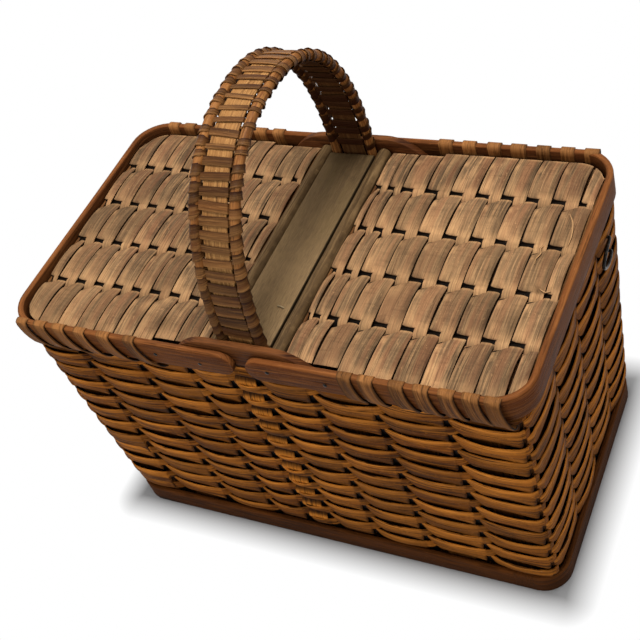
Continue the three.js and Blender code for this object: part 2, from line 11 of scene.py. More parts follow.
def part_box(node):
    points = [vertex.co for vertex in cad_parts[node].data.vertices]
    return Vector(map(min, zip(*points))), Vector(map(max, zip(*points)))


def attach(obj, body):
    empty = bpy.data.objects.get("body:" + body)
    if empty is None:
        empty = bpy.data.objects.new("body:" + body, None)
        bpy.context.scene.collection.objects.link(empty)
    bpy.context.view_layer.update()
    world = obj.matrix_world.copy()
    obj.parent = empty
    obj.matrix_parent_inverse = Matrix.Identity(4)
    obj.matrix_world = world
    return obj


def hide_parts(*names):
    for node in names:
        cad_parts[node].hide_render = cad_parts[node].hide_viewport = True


bl_info = {
    "name": "Splint Picnic Basket",
    "version": (1, 0, 0),
    "blender": (4, 5, 0),
    "location": "View3D > Sidebar > Basket",
    "description": "Builds a splint picnic basket with two woven lids and a wrapped handle",
    "category": "Object",
}

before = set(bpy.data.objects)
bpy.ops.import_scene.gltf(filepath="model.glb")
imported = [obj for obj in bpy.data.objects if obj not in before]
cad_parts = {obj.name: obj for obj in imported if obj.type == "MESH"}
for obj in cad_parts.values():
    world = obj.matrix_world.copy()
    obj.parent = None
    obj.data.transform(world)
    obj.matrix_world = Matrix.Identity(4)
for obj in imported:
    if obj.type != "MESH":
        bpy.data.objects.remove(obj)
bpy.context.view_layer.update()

MM = 0.001
UP = Vector((0, 0, 1))
ALONG_X = Vector((1, 0, 0))
ALONG_Y = Vector((0, 1, 0))


def paint(red, green, blue):
    """A colour as a picture shows it, 0 to 255, turned into what a shader takes."""
    def linear(part):
        part /= 255
        return part / 12.92 if part <= 0.04045 else ((part + 0.055) / 1.055) ** 2.4
    return (linear(red), linear(green), linear(blue))


# Sizes that the scene shares with the solids, in millimetres. A half length runs along X and a half
# depth along Y.

RIM_HALF_LENGTH = 230.0
RIM_HALF_DEPTH = 129.0
RIM_TOP = 282.0
RIM_HEIGHT = 24.0
RIM_THICKNESS = 5.5
RIM_CORNER = 30.0
BASE_HALF_LENGTH = 220.0
BASE_HALF_DEPTH = 119.5
BASE_HEIGHT = 21.0
BASE_THICKNESS = 5.0
BASE_CORNER = 25.0
INNER_HOOP_TOP = 266.0
INNER_HOOP_HEIGHT = 17.7
INNER_HOOP_THICKNESS = 4.0
INNER_HOOP_OUTER = 119.4
LENGTH_OVER_DEPTH = 101.0
WALL_CORNER = 9.0
FACE_AT_BASE = 114.0
FACE_AT_RIM = 120.3
END_FACE_AT_BASE = 214.5
END_FACE_AT_RIM = 221.3
WEAVE_FOOT = 22.0
FLOOR_HALF_LENGTH = 208.0
FLOOR_HALF_DEPTH = 107.5
EAR_TOP = 288.0
EAR_HALF_LENGTH = 65.3
HANDLE_PLANE = 112.75
HANDLE_FOOT = 266.3
HANDLE_SPLINT_WIDTH = 21.0
HANDLE_SPLINT_THICKNESS = 2.4
HANDLE_SPLINT_END = 8.3
ARCH_RISE = 150.0
ARCH_LEAN = 8.0
ARCH_POWER = 2.3
ROD_X = 17.2
ROD_RADIUS = 4.0
LID_PLANE = 271.0
LID_START = 33.8
LID_END = 222.4
LID_HALF_DEPTH = 120.5
LID_HALF_DEPTH_AT_EAR = 116.85
LID_CORNER = 24.0
LID_ROWS = 5
RIB_PITCH = 2 * LID_HALF_DEPTH / LID_ROWS
LID_SOLID_SPLINTS = 17
BATTEN = 5.0
HINGE_X = 27.75
HINGE_Z = 274.0

# Sizes of the scene's own weave, in millimetres, and the shares of a wall's length that its
# columns take

COURSES = 24
COURSE_PITCH = 10.18
WEAVE_TOP = 265.0
FLOOR_HEIGHT = 5.5
LID_WEAVE = 273.9
WEAVER_THICKNESS = 0.8
WEAVER_GAP = 0.25
SIDE_COLUMNS = (0.11, 0.136, 0.119, 0.088, 0.06, 0.102, 0.121, 0.132, 0.132)
HANDLE_COLUMN = 4
END_COLUMNS = (0.25, 0.25, 0.25, 0.25)
BROAD_COURSES = (2, 8)


def length_setting(name, description, default, **limits):
    return bpy.props.FloatProperty(name=name, description=description, default=default,
                                   unit="LENGTH", **limits)


def colour_setting(name, description, *shade):
    return bpy.props.FloatVectorProperty(name=name, description=description, subtype="COLOR",
                                         default=paint(*shade))


class BasketSizes(bpy.types.PropertyGroup):
    """Sizes that change the look of the weave"""
    splint: length_setting("Splint", "Thickness of a wall or lid splint", 0.0009, min=0.0003)
    wall_lift: length_setting(
        "Wall lift", "How far a wall splint stands out over an upright", 0.0036)
    lid_lift: length_setting("Lid lift", "How far a lid splint stands up over a rib", 0.0033)
    strap: length_setting("Strap", "Width of the strap that lashes the rim", 0.0105)
    weaver: length_setting("Weaver", "Width of the handle's weaver", 0.0062)
    weaver_turns: bpy.props.IntProperty(
        name="Weaver turns", description="Times that the weaver goes round the handle", default=40,
        min=4)
    lid_splints: bpy.props.IntProperty(
        name="Lid splints", description="Splints of a full width on each lid", default=18, min=4)


class BasketColours(bpy.types.PropertyGroup):
    """Colours of the wood, each finish in its middle tone"""
    wall: colour_setting("Wall", "Colour of the wall splints", 87, 46, 10)
    lid: colour_setting("Lid", "Colour of the lid splints", 108, 84, 60)
    hoop: colour_setting("Hoop", "Colour of the rim hoop", 90, 48, 20)
    board: colour_setting("Board", "Colour of the middle board", 82, 64, 42)
    rods: colour_setting("Handle rods", "Colour of the two rods of the handle", 110, 64, 28)
    bare_splint: colour_setting(
        "Handle splint", "Colour of the splint in the middle of the handle", 134, 92, 52)
    weaver: colour_setting("Weaver", "Colour of the handle's weaver", 68, 42, 20)


def lerp(start, end, share):
    """The number at a share of the way from start to end."""
    return start + (end - start) * share


def spun(turn):
    """A turn about the upright axis, in radians."""
    return Matrix.Rotation(turn, 3, "Z")


def eased(share):
    """A share from 0 to 1 that starts and ends slowly."""
    share = min(max(share, 0.0), 1.0)
    return share * share * (3 - 2 * share)


# Meshes in the making


PLAIN_TONE = (0.0, 0.0, 0.5)


def lengths_along(places):
    """How far each place lies from the first one, along the run of places."""
    lengths = [0.0]
    for before, after in zip(places, places[1:]):
        lengths.append(lengths[-1] + (after - before).length)
    return lengths


class Station:
    """One cross section of a bar: its middle, the two ways that it faces, and its size."""

    def __init__(self, at, side, lift, width, thickness, raised=0.0):
        self.at = at
        self.side = side
        self.lift = lift
        self.width = width
        self.thickness = thickness
        self.raised = raised


class Workpiece:
    """A mesh in the making, in millimetres. Each corner carries where it lies along and across
    its own wood (grain) and how pale, how dark and how mottled it is (tone). The pale and dark
    shares hold painted highlights and painted shade as well as worn places and stains."""

    def __init__(self):
        self.bm = bmesh.new()
        self.grain = self.bm.verts.layers.float_vector.new("grain")
        self.tone = self.bm.verts.layers.float_vector.new("tone")

    def sheet(self, along, across, place):
        """A grid whose corner (i, j) goes where place says, with its grain and its tone."""
        made = bmesh.ops.create_grid(self.bm, x_segments=along, y_segments=across, size=0.5)
        for corner in made["verts"]:
            i = round((corner.co.x + 0.5) * along)
            j = round((corner.co.y + 0.5) * across)
            at, grain, tone = place(i, j)
            corner.co = at
            corner[self.grain] = grain
            corner[self.tone] = tone
        return made["verts"]

    def bar(self, stations, section, seed, closed=False, tone=None):
        """A bar of one section bent through stations, closed at its ends or on itself."""
        count = len(section)
        steps = len(stations) if closed else len(stations) - 1
        lengths = lengths_along([stations[i % len(stations)].at for i in range(steps + 1)])

        def place(i, j):
            station = stations[i % len(stations)]
            x, y = section[j % count]
            at = (station.at + station.side * (x * station.width)
                  + station.lift * (y * station.thickness))
            around = (x * station.width + y * station.thickness) * MM
            shade = tone(station, x, y) if tone else PLAIN_TONE
            return at, (lengths[i] * MM, around, seed), shade

        made = self.sheet(steps, count, place)
        bmesh.ops.remove_doubles(self.bm, verts=made, dist=0.0005)
        ends = [edge for edge in self.bm.edges if edge.is_boundary]
        if ends:
            bmesh.ops.holes_fill(self.bm, edges=ends, sides=0)

    def thicken(self, thickness):
        """Gives every face so far its thickness, on the side away from its normal."""
        bmesh.ops.solidify(self.bm, geom=self.bm.faces[:], thickness=thickness)

    def dull_inside(self, outwards, share):
        """Leaves only a share of the dark tone on the corners that face inwards."""
        self.bm.normal_update()
        for corner in self.bm.verts:
            if corner.normal.dot(outwards) < 0:
                pale, dark, mottle = corner[self.tone]
                corner[self.tone] = (pale, dark * share, mottle)

    def finish(self, name, finish, body, slot, nodes, sharp=50):
        """Makes the piece, in metres, and says what it rides on and which nodes it stands for.
        A face meets its neighbour in a hard edge where it turns by more than sharp degrees."""
        bmesh.ops.recalc_face_normals(self.bm, faces=self.bm.faces[:])
        bmesh.ops.scale(self.bm, vec=(MM, MM, MM), verts=self.bm.verts[:])
        for face in self.bm.faces:
            face.smooth = True
        mesh = bpy.data.meshes.new(name)
        self.bm.to_mesh(mesh)
        self.bm.free()
        mesh.set_sharp_from_angle(angle=math.radians(sharp))
        piece = bpy.data.objects.new(name, mesh)
        bpy.context.scene.collection.objects.link(piece)
        mesh.materials.append(finishes()[finish])
        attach(piece, body)
        if nodes:
            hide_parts(*nodes)


def soft_box(round_x, round_y):
    """The section of a bar with rounded edges, one unit wide and thick. The edges are rounded over
    these shares of its width and of its thickness."""
    section = []
    for index, (sx, sy) in enumerate(((1, -1), (1, 1), (-1, 1), (-1, -1))):
        for half_step in range(3):
            angle = math.pi / 2 * (index - 1 + half_step / 2)
            section.append((sx * (0.5 - round_x) + round_x * math.cos(angle),
                            sy * (0.5 - round_y) + round_y * math.sin(angle)))
    return section


def round_section(sides):
    """The section of a round rod, one unit in radius."""
    return [(math.cos(2 * math.pi * i / sides), math.sin(2 * math.pi * i / sides))
            for i in range(sides)]


def through(points, steps):
    """A smooth run of places through points."""
    places = []
    last = len(points) - 1
    for index in range(steps + 1):
        share = index / steps * last
        near = min(int(share), last - 1)
        t = share - near
        p0, p1, p2, p3 = (points[min(max(near + k, 0), last)] for k in (-1, 0, 1, 2))
        places.append(0.5 * (2 * p1 + (p2 - p0) * t + (2 * p0 - 5 * p1 + 4 * p2 - p3) * t ** 2
                             + (3 * p1 - p0 - 3 * p2 + p3) * t ** 3))
    return places


def run_of(places, side_hint, width, thickness):
    """Stations along places, each square to the run, with its side near a hint."""
    stations = []
    for index, at in enumerate(places):
        before = places[max(index - 1, 0)]
        after = places[min(index + 1, len(places) - 1)]
        along = (after - before).normalized()
        side = (side_hint - along * side_hint.dot(along)).normalized()
        stations.append(Station(at, side, along.cross(side).normalized(), width, thickness))
    return stations


# Finishes


class Nodes:
    """The nodes of a material or of the surroundings. A call takes numbers, colours or other
    calls' outputs, and gives its own output."""

    def __init__(self, tree):
        self.nodes = tree.nodes
        self.links = tree.links

    def feed(self, socket, value):
        if isinstance(value, bpy.types.NodeSocket):
            self.links.new(value, socket)
        elif isinstance(value, tuple) and socket.type == "RGBA":
            socket.default_value = (*value[:3], 1)
        else:
            socket.default_value = value

    def add(self, kind, output, fed=(), **settings):
        """A node with its settings, and what is fed to its inputs by their names or numbers."""
        node = self.nodes.new("ShaderNode" + kind)
        for name, value in settings.items():
            setattr(node, name, value)
        for name, value in dict(fed).items():
            self.feed(node.inputs[name], value)
        return node.outputs[output]

    def attribute(self, name):
        """What each corner of the piece carries by this name."""
        return self.add("Attribute", "Vector", attribute_name=name)

    def place(self):
        """Where the surface is, in metres."""
        return self.add("TexCoord", "Object")

    def parts(self, vector):
        """The three numbers of a vector."""
        node = self.nodes.new("ShaderNodeSeparateXYZ")
        self.feed(node.inputs[0], vector)
        return node.outputs

    def stretched(self, vector, scale):
        """A place multiplied along each axis, so that a pattern on it is drawn out."""
        return self.add("Mapping", "Vector", {"Vector": vector, "Scale": Vector(scale)})

    def noise(self, vector, scale=1.0, detail=3.0, rough=0.6, twist=0.0):
        return self.add("TexNoise", "Fac", {"Vector": vector, "Scale": scale, "Detail": detail,
                                            "Roughness": rough, "Distortion": twist})

    def spread(self, value, low, high, out_low=0.0, out_high=1.0):
        """What runs from low to high made to run from out_low to out_high."""
        return self.add("MapRange", "Result", {"Value": value, "From Min": low, "From Max": high,
                                               "To Min": out_low, "To Max": out_high})

    def sum(self, kind, first, second):
        return self.add("Math", 0, {0: first, 1: second}, operation=kind)

    def mixed(self, share, first, second):
        """A share of the second colour in the first. In a Mix node for colours, the two are
        inputs 6 and 7 and the result is output 2."""
        return self.add("Mix", 2, {"Factor": share, 6: first, 7: second}, data_type="RGBA")

    def steps(self, value, stops):
        """A colour from three or more that each have their place from 0 to 1."""
        node = self.nodes.new("ShaderNodeValToRGB")
        self.feed(node.inputs["Fac"], value)
        ramp = node.color_ramp
        while len(ramp.elements) < len(stops):
            ramp.elements.new(0.5)
        for element, (position, colour) in zip(ramp.elements, stops):
            element.position = position
            element.color = (*colour, 1)
        return node.outputs["Color"]

    def shifted(self, colour, value):
        """A colour made brighter or darker."""
        return self.add("HueSaturation", "Color", {"Color": colour, "Value": value})

    def seen(self):
        """1 for what the camera sees straight on, in a reflection or through glass, else 0."""
        path = self.nodes.new("ShaderNodeLightPath").outputs
        mirrored = self.sum("MAXIMUM", path["Is Glossy Ray"], path["Is Transmission Ray"])
        return self.sum("MAXIMUM", path["Is Camera Ray"], mirrored)

    def either(self, share, first, second):
        """The first shader with a share of the second in it."""
        return self.add("MixShader", 0, {0: share, 1: first, 2: second})

    def white(self, kind, strength=1.0):
        """A plain white light from a surface or from the surroundings."""
        return self.add(kind, 0, {"Color": (1, 1, 1), "Strength": strength})


class Finish(Nodes):
    """A material in the making."""

    def __init__(self, name, roughness, gloss):
        self.material = bpy.data.materials.new(name)
        self.material.use_nodes = True
        super().__init__(self.material.node_tree)
        self.shader = self.nodes["Principled BSDF"]
        self.shader.inputs["Roughness"].default_value = roughness
        self.shader.inputs["Specular IOR Level"].default_value = gloss

    def bump(self, height, distance):
        """Raises the surface by up to so many metres."""
        self.feed(self.shader.inputs["Normal"],
                  self.add("Bump", "Normal", {"Distance": distance, "Height": height}))

    def colour(self, colour):
        self.feed(self.shader.inputs["Base Color"], colour)


def between(first, second, share):
    """A colour at a share of the way from the first to the second."""
    return tuple(lerp(a, b, share) for a, b in zip(first, second))


WOOD_RELIEF = 0.0008


def wood(name, base, pale, deep, tint=None, streaks=0.55, ticks=0.3, patches=0.4, cracks=0.5,
         variety=0.3, roughness=0.55, gloss=0.1, fibre=(16, 420)):
    """Old wood: long fibres and cracks, short marks across them, stains in patches, pale edges that
    are partly worn and partly a painted highlight, and painted shade in hollows. tint is a second
    colour that it has in broad streaks. streaks, ticks, patches and cracks say how strong each
    mark is, variety how far one splint differs from the next, and fibre how fine the grain is
    along and across."""
    finish = Finish(name, roughness, gloss)
    base, pale, deep = tuple(base), paint(*pale), paint(*deep)
    along, across = fibre
    grain = finish.attribute("grain")

    def drawn_out(*scale, **noise):
        return finish.noise(finish.stretched(grain, scale), **noise)

    # The tone's pale share brings painted highlights as well as worn places, and its dark share
    # brings painted shade as well as stains
    pale_share, dark_share, mottle = finish.parts(finish.attribute("tone"))[:3]
    fibres = drawn_out(along, across, 1, detail=5, rough=0.68, twist=0.25)
    threads = drawn_out(along * 4, across * 3.2, 1)
    splits = drawn_out(along * 1.5, across * 1.9, 3)
    broad = drawn_out(along * 0.5, across * 0.25, 2, detail=2)
    marks = drawn_out(420, 60, 1)
    flecks = drawn_out(260, 520, 5, detail=2)
    stains = finish.noise(finish.place(), scale=26, detail=4, rough=0.6, twist=0.6)
    clouds = finish.noise(finish.place(), scale=9, detail=2)
    colour = finish.steps(fibres, (
        (0.36, between(base, deep, streaks)),
        (0.49, base),
        (0.64, between(base, pale, streaks)),
    ))
    if tint:
        colour = finish.mixed(finish.spread(broad, 0.42, 0.62, 0, 0.75), colour, paint(*tint))
    colour = finish.mixed(finish.spread(threads, 0.54, 0.68, 0, streaks * 0.7), colour,
                          between(base, pale, 0.7))
    colour = finish.mixed(finish.spread(stains, 0.52, 0.75, 0, patches), colour,
                          between(base, deep, 0.7))
    colour = finish.mixed(finish.spread(clouds, 0.45, 0.7, 0, patches), colour,
                          between(base, pale, 0.5))
    colour = finish.mixed(finish.spread(marks, 0.5, 0.72, 0, ticks), colour,
                          between(base, deep, 0.8))
    colour = finish.mixed(finish.sum("MULTIPLY", pale_share,
                                     finish.spread(threads, 0.3, 0.6, 0.45, 1)), colour, pale)
    colour = finish.mixed(finish.spread(splits, 0.56, 0.63, 0, cracks), colour,
                          between(base, deep, 0.85))
    colour = finish.mixed(finish.spread(flecks, 0.64, 0.72, 0, 0.55 * streaks), colour, pale)
    colour = finish.shifted(colour, finish.spread(mottle, 0, 1, 1 - variety, 1 + variety))
    colour = finish.mixed(dark_share, colour, deep)
    finish.colour(colour)
    finish.feed(finish.shader.inputs["Roughness"],
                finish.spread(fibres, 0.3, 0.7, roughness - 0.1, roughness + 0.12))
    height = finish.sum("ADD", finish.sum("MULTIPLY", fibres, 0.7),
                        finish.sum("SUBTRACT", finish.sum("MULTIPLY", threads, 0.3),
                                   finish.sum("MULTIPLY", splits, 0.4)))
    finish.bump(height, WOOD_RELIEF)
    return finish.material


def blackened_wire():
    """Blackened iron wire, worn bright in places."""
    finish = Finish("blackened_wire", 0.32, 0.5)
    finish.shader.inputs["Metallic"].default_value = 0.9
    wear = finish.noise(finish.place(), scale=320, detail=3)
    finish.colour(finish.mixed(finish.spread(wear, 0.55, 0.75, 0, 0.6), paint(26, 24, 22),
                               paint(96, 84, 70)))
    finish.bump(wear, 0.0001)
    return finish.material


FINISHES = {}


def finishes():
    """Every finish by its name, made once."""
    if not FINISHES:
        colours = bpy.context.scene.basket_colours
        FINISHES.update({
            "wall": wood("wall_splint", colours.wall, (212, 132, 50), (4, 1, 0),
                         tint=(112, 59, 13), streaks=0.6, ticks=0.18, patches=0.55, cracks=0.9,
                         variety=0.34, roughness=0.62, gloss=0.04),
            "lid": wood("lid_splint", colours.lid, (204, 156, 106), (9, 4, 1),
                        tint=(130, 88, 60), streaks=0.5, ticks=0.25, cracks=0.4, variety=0.2,
                        roughness=0.62, gloss=0.05, fibre=(18, 560)),
            "hoop": wood("hoop_wood", colours.hoop, (162, 102, 54), (14, 5, 2),
                         tint=(98, 50, 17), streaks=0.5, ticks=0.1, patches=0.5, gloss=0.05),
            "strap": wood("strap_splint", paint(94, 55, 24), (170, 116, 66), (4, 1, 0),
                          tint=(110, 68, 32), streaks=0.6, ticks=0.1, gloss=0.05),
            "base": wood("base_wood", paint(50, 25, 8), (116, 66, 26), (8, 3, 1),
                         tint=(84, 44, 14), streaks=0.6, ticks=0.1, patches=0.5, gloss=0.04),
            "board": wood("board_wood", colours.board, (152, 123, 86), (34, 25, 14),
                          tint=(92, 74, 46), streaks=0.2, ticks=0.1, patches=0.7, cracks=0.12,
                          roughness=0.65, gloss=0.06, fibre=(30, 300)),
            "rods": wood("rod_wood", colours.rods, (200, 142, 80), (24, 9, 3),
                         tint=(136, 84, 40), streaks=0.6, ticks=0.15, patches=0.45,
                         roughness=0.5),
            "bare_splint": wood("handle_splint_wood", colours.bare_splint, (204, 154, 94),
                                (56, 28, 10), tint=(140, 94, 50), streaks=0.8, ticks=0.1,
                                gloss=0.06),
            "weaver": wood("weaver_splint", colours.weaver, (164, 116, 66), (40, 14, 4),
                           tint=(92, 52, 22), ticks=0.1, patches=0.6, variety=0.42,
                           roughness=0.5, gloss=0.08),
            "lid_rod": wood("lid_rod_wood", paint(92, 70, 44), (146, 116, 78), (40, 26, 14),
                            streaks=0.6, ticks=0.1, gloss=0.06),
            "lid_frame": wood("lid_frame_wood", paint(104, 66, 36), (168, 118, 70), (30, 14, 6),
                              streaks=0.5, ticks=0.15, gloss=0.05),
            "ear": wood("ear_wood", paint(55, 26, 9), (134, 82, 42), (16, 6, 2),
                        tint=(72, 37, 14), streaks=0.5, ticks=0.1, patches=0.5, gloss=0.06),
            "staple": wood("staple_wire", paint(150, 128, 92), (200, 180, 140), (60, 44, 26),
                           gloss=0.3),
            "wire": blackened_wire(),
        })
    return FINISHES


# The weave. Each strip runs over and under. Over an upright or a rib it shows its full width. Where
# it goes under, half of it folds away and the other half runs on as a tab.

# Across a strip there are two places on the flap that is folded away behind its neighbour, and then
# these shares of the part that shows, from its lower or left edge to its other edge

CROSS = (0.0, 0.08, 0.29, 0.5, 0.71, 0.92, 1.0)
TIP_STOPS = (0.0, 0.06, 0.13, 0.22, 0.34, 0.48, 0.64, 0.82, 1.0)
ROUND_END = 1.4


class Lay(NamedTuple):
    """How one kind of strip lies. Lengths are in millimetres along the strip, heights go from -1
    under an upright to 1 over it, and shares are of the strip's width."""
    opening: float    # length of the pointed start of a crown
    tip: float        # share folded away at the point
    curve: float      # how hollow the pointed start is cut
    cut: float        # how far before the end of the cell a crown's blunt half stops
    rise: float       # length over which a strip comes up from under
    tab: float        # length of the tab that runs on where it goes under
    start: float      # height where a crown starts
    end: float        # height where it ends
    bulge: float      # how far its middle swells out, in millimetres
    tilt: float       # how far its upper edge stands out, in millimetres
    # shade is the painted shade at a crown's blunt end, where it bends in under its neighbour
    shade: float      # how dark its blunt end is

    def stops(self, length, over):
        """Places along one cell of the weave, in millimetres from where the cell starts."""
        if over:
            blunt = length - self.cut
            raw = [share * self.opening for share in TIP_STOPS]
            raw += [self.opening + 4, length * 0.4, length * 0.5, length * 0.6, length - 14,
                    length - 9, blunt - 3, blunt - 1.4, blunt - 0.9, blunt - 0.4, blunt]
        else:
            raw = [0, self.tab * 0.25, self.tab * 0.5, self.tab * 0.75, self.tab, length * 0.5,
                   length - self.rise, length - self.rise * 0.66, length - self.rise * 0.33,
                   length - 0.7]
        kept = []
        for stop in sorted(raw):
            if 0 <= stop < length - 0.3 and (not kept or stop - kept[-1] > 0.3):
                kept.append(stop)
        return kept

    def fold(self, stop, length, over):
        """How much of the width is folded away at a place along a cell."""
        left = length - stop
        if over:
            opened = self.tip * max(1 - stop / self.opening, 0.0) ** self.curve
            closing = min(max((self.cut + ROUND_END - left) / ROUND_END, 0.0), 1.0)
            return max(opened, 0.5 * (1 - math.sqrt(1 - closing ** 2)))
        tab = 0.5 * (1 - eased((stop - self.tab * 0.6) / (self.tab * 0.4)))
        return max(tab, self.tip * (1 - eased(left / self.rise)))

    def slopes(self, length):
        """How long a strip climbs at the start of a crown and falls towards its end."""
        return max(self.rise, 0.5 * length), max(8.0, 0.42 * length)

    def height(self, stop, length, over):
        """How high the strip lies, from -1 under the uprights to 1 over them."""
        left = length - stop
        if over:
            up, down = self.slopes(length)
            rising = lerp(self.start, 1, math.sin(math.pi / 2 * min(stop / up, 1)))
            falling = lerp(self.end, 1, math.sin(math.pi / 2 * min(left / down, 1)))
            return rising + falling - 1
        return max(lerp(self.end, -1, eased(stop / self.tab)),
                   lerp(self.start, -1, eased(left / self.rise)))


WALL_LAY = Lay(opening=12.0, tip=0.86, curve=1.6, cut=2.0, rise=9.0, tab=12.0, start=0.1, end=0.66,
               bulge=1.0, tilt=1.3, shade=0.8)
LID_LAY = Lay(opening=9.5, tip=0.5, curve=0.8, cut=2.2, rise=9.0, tab=9.5, start=0.0, end=0.55,
              bulge=0.8, tilt=0.0, shade=0.35)


class Spot(NamedTuple):
    """One corner of a strip in the weave."""
    along: float      # how far along the strip, in millimetres
    across: float     # share of the strip's width
    height: float     # -1 under the uprights to 1 over them
    extra: float      # swell of the cross section, in millimetres
    wave: float       # waver of the strip's inner lines, in millimetres
    # dark is painted shade where a strip comes out from under, at a blunt end, under the uprights
    # and on a folded flap
    dark: float
    mottle: float     # one number for the whole cell, from 0 to 1
    shown: float      # share of the part that shows
    over: bool
    stop: float       # how far into its cell, in millimetres
    left: float       # how far from the cell's end, in millimetres
    profile: float    # 0 at the ends of a crown to 1 along its middle
    seed: float


def lay_strip(work, cells, shape, rng, lay, seed, slim=(), cut_off=False, snug=False):
    """One strip through its cells, each with its start, its length and whether it goes over.
    shape gives the place, grain and tone of a Spot. A strip that is cut off keeps its full width
    to both ends, and stays down where it ends under a rib. A snug strip that starts over an
    upright comes out close to the corner of the basket. Cells named in slim are narrow."""
    stops = []
    for number, (start, length, over) in enumerate(cells):
        mottle = rng.random()
        lift = 0.84 + 0.3 * rng.random()
        for stop in lay.stops(length, over):
            stops.append((start + stop, stop, length, over, number, mottle, lift))
    start, length, over = cells[-1]
    stops.append((start + length, length, length, over, len(cells) - 1, stops[-1][5],
                  stops[-1][6]))
    waver = rng.random() * 10

    def place(i, j):
        along, stop, length, over, number, mottle, lift = stops[i]
        flap = j < 2
        shown = CROSS[max(j - 2, 0)]
        left = length - stop
        fold = lay.fold(stop, length, over)
        if number in slim and over:
            fold = max(fold, 0.44)
        height = lay.height(stop, length, over)
        before_first = number == 0 and stop < length / 2
        after_last = number == len(cells) - 1 and left < length / 2
        if cut_off and (before_first or after_last):
            fold = 0.0
            if not over:
                height = -1.0
        elif snug and before_first and over:
            height = max(height, 0.55)
            fold *= 0.8
        height *= lift
        up, down = lay.slopes(length)
        profile = math.sin(math.pi / 2 * min(stop / up, left / down, 1)) if over else 0.0
        across = (-0.05, fold - 0.025)[j] if flap else lerp(fold, 1, shown)
        folded = min(fold * 5, 1)
        inward = (0.5 + 2.0 * folded, 0.25 + 0.8 * folded)[j] if flap else 0.0
        swell = lay.bulge * (1 - (2 * shown - 1) ** 2) * max(profile, 0.25)
        swell += lay.tilt * profile * (2 * shown - 1)
        wave = 0.35 * math.sin(along * 0.09 + waver) * (1 if j in (1, 2, 3, 7, 8) else 0)
        # Painted shade: a crown is dark where it comes out from under and at its blunt end, and a
        # strip is dark where it runs under the uprights and on its folded flap
        if over:
            dark = 0.0 if cut_off and before_first else 0.9 * (1 - eased((stop - 0.1) / 0.5))
            if across < 0.5 and not (cut_off and after_last):
                dark = max(dark, lay.shade * (1 - eased((left - lay.cut) / 5.0)))
        else:
            dark = 0.95 * eased((stop - lay.tab * 0.7) / (lay.tab * 0.3))
        if flap or (not over and left < lay.rise):
            dark = 1.0
        return shape(Spot(along, across, height, swell - inward, wave, dark, mottle, shown, over,
                          stop, left, profile, seed))

    work.sheet(len(stops) - 1, len(CROSS) + 1, place)


# Walls


def rise_share(z):
    """How far up the wall a height is, from 0 at the base hoop to 1 at the rim hoop."""
    return max(z - BASE_HEIGHT, 0.0) / (RIM_TOP - RIM_HEIGHT - BASE_HEIGHT)


def side_face(z):
    """How far the middle surface of a long wall is from the basket's middle at a height."""
    return lerp(FACE_AT_BASE, FACE_AT_RIM, rise_share(z))


def end_face(z):
    """How far the middle surface of an end wall is from the basket's middle at a height."""
    return lerp(END_FACE_AT_BASE, END_FACE_AT_RIM, rise_share(z))


def wall_place(half_length, face, share, z, out, turn):
    """A place on a wall: at a share of its length, at a height z, and so far out from its middle
    surface. A wall ends half way round its two corners."""
    run = half_length(z) - WALL_CORNER
    arc = WALL_CORNER * math.pi / 4
    along = lerp(-run - arc, run + arc, share)
    if abs(along) <= run:
        x, y = along, -(face(z) + out)
    else:
        angle = (abs(along) - run) / WALL_CORNER
        x = math.copysign(run + (WALL_CORNER + out) * math.sin(angle), along)
        y = -(face(z) - WALL_CORNER + (WALL_CORNER + out) * math.cos(angle))
    return spun(turn) @ Vector((x, y, z))


def column_starts(shares):
    """Where each column starts and the last one ends, from 0 to 1."""
    starts = [0.0]
    for share in shares:
        starts.append(starts[-1] + share)
    return [start / starts[-1] for start in starts]


def tucked(out, z):
    """Keeps the weave inside the base hoop at its foot and inside the rim hoop at its top."""
    low = lerp(min(out, -1.2), out, eased((z - 19) / 7))
    return lerp(low, max(min(low, 1.4), -0.1), eased((z - 252) / 5))


# The dark stain on the front wall: its middle along X and Z, and how far it spreads each way

FRONT_STAIN = (-68, 205, 15, 5)


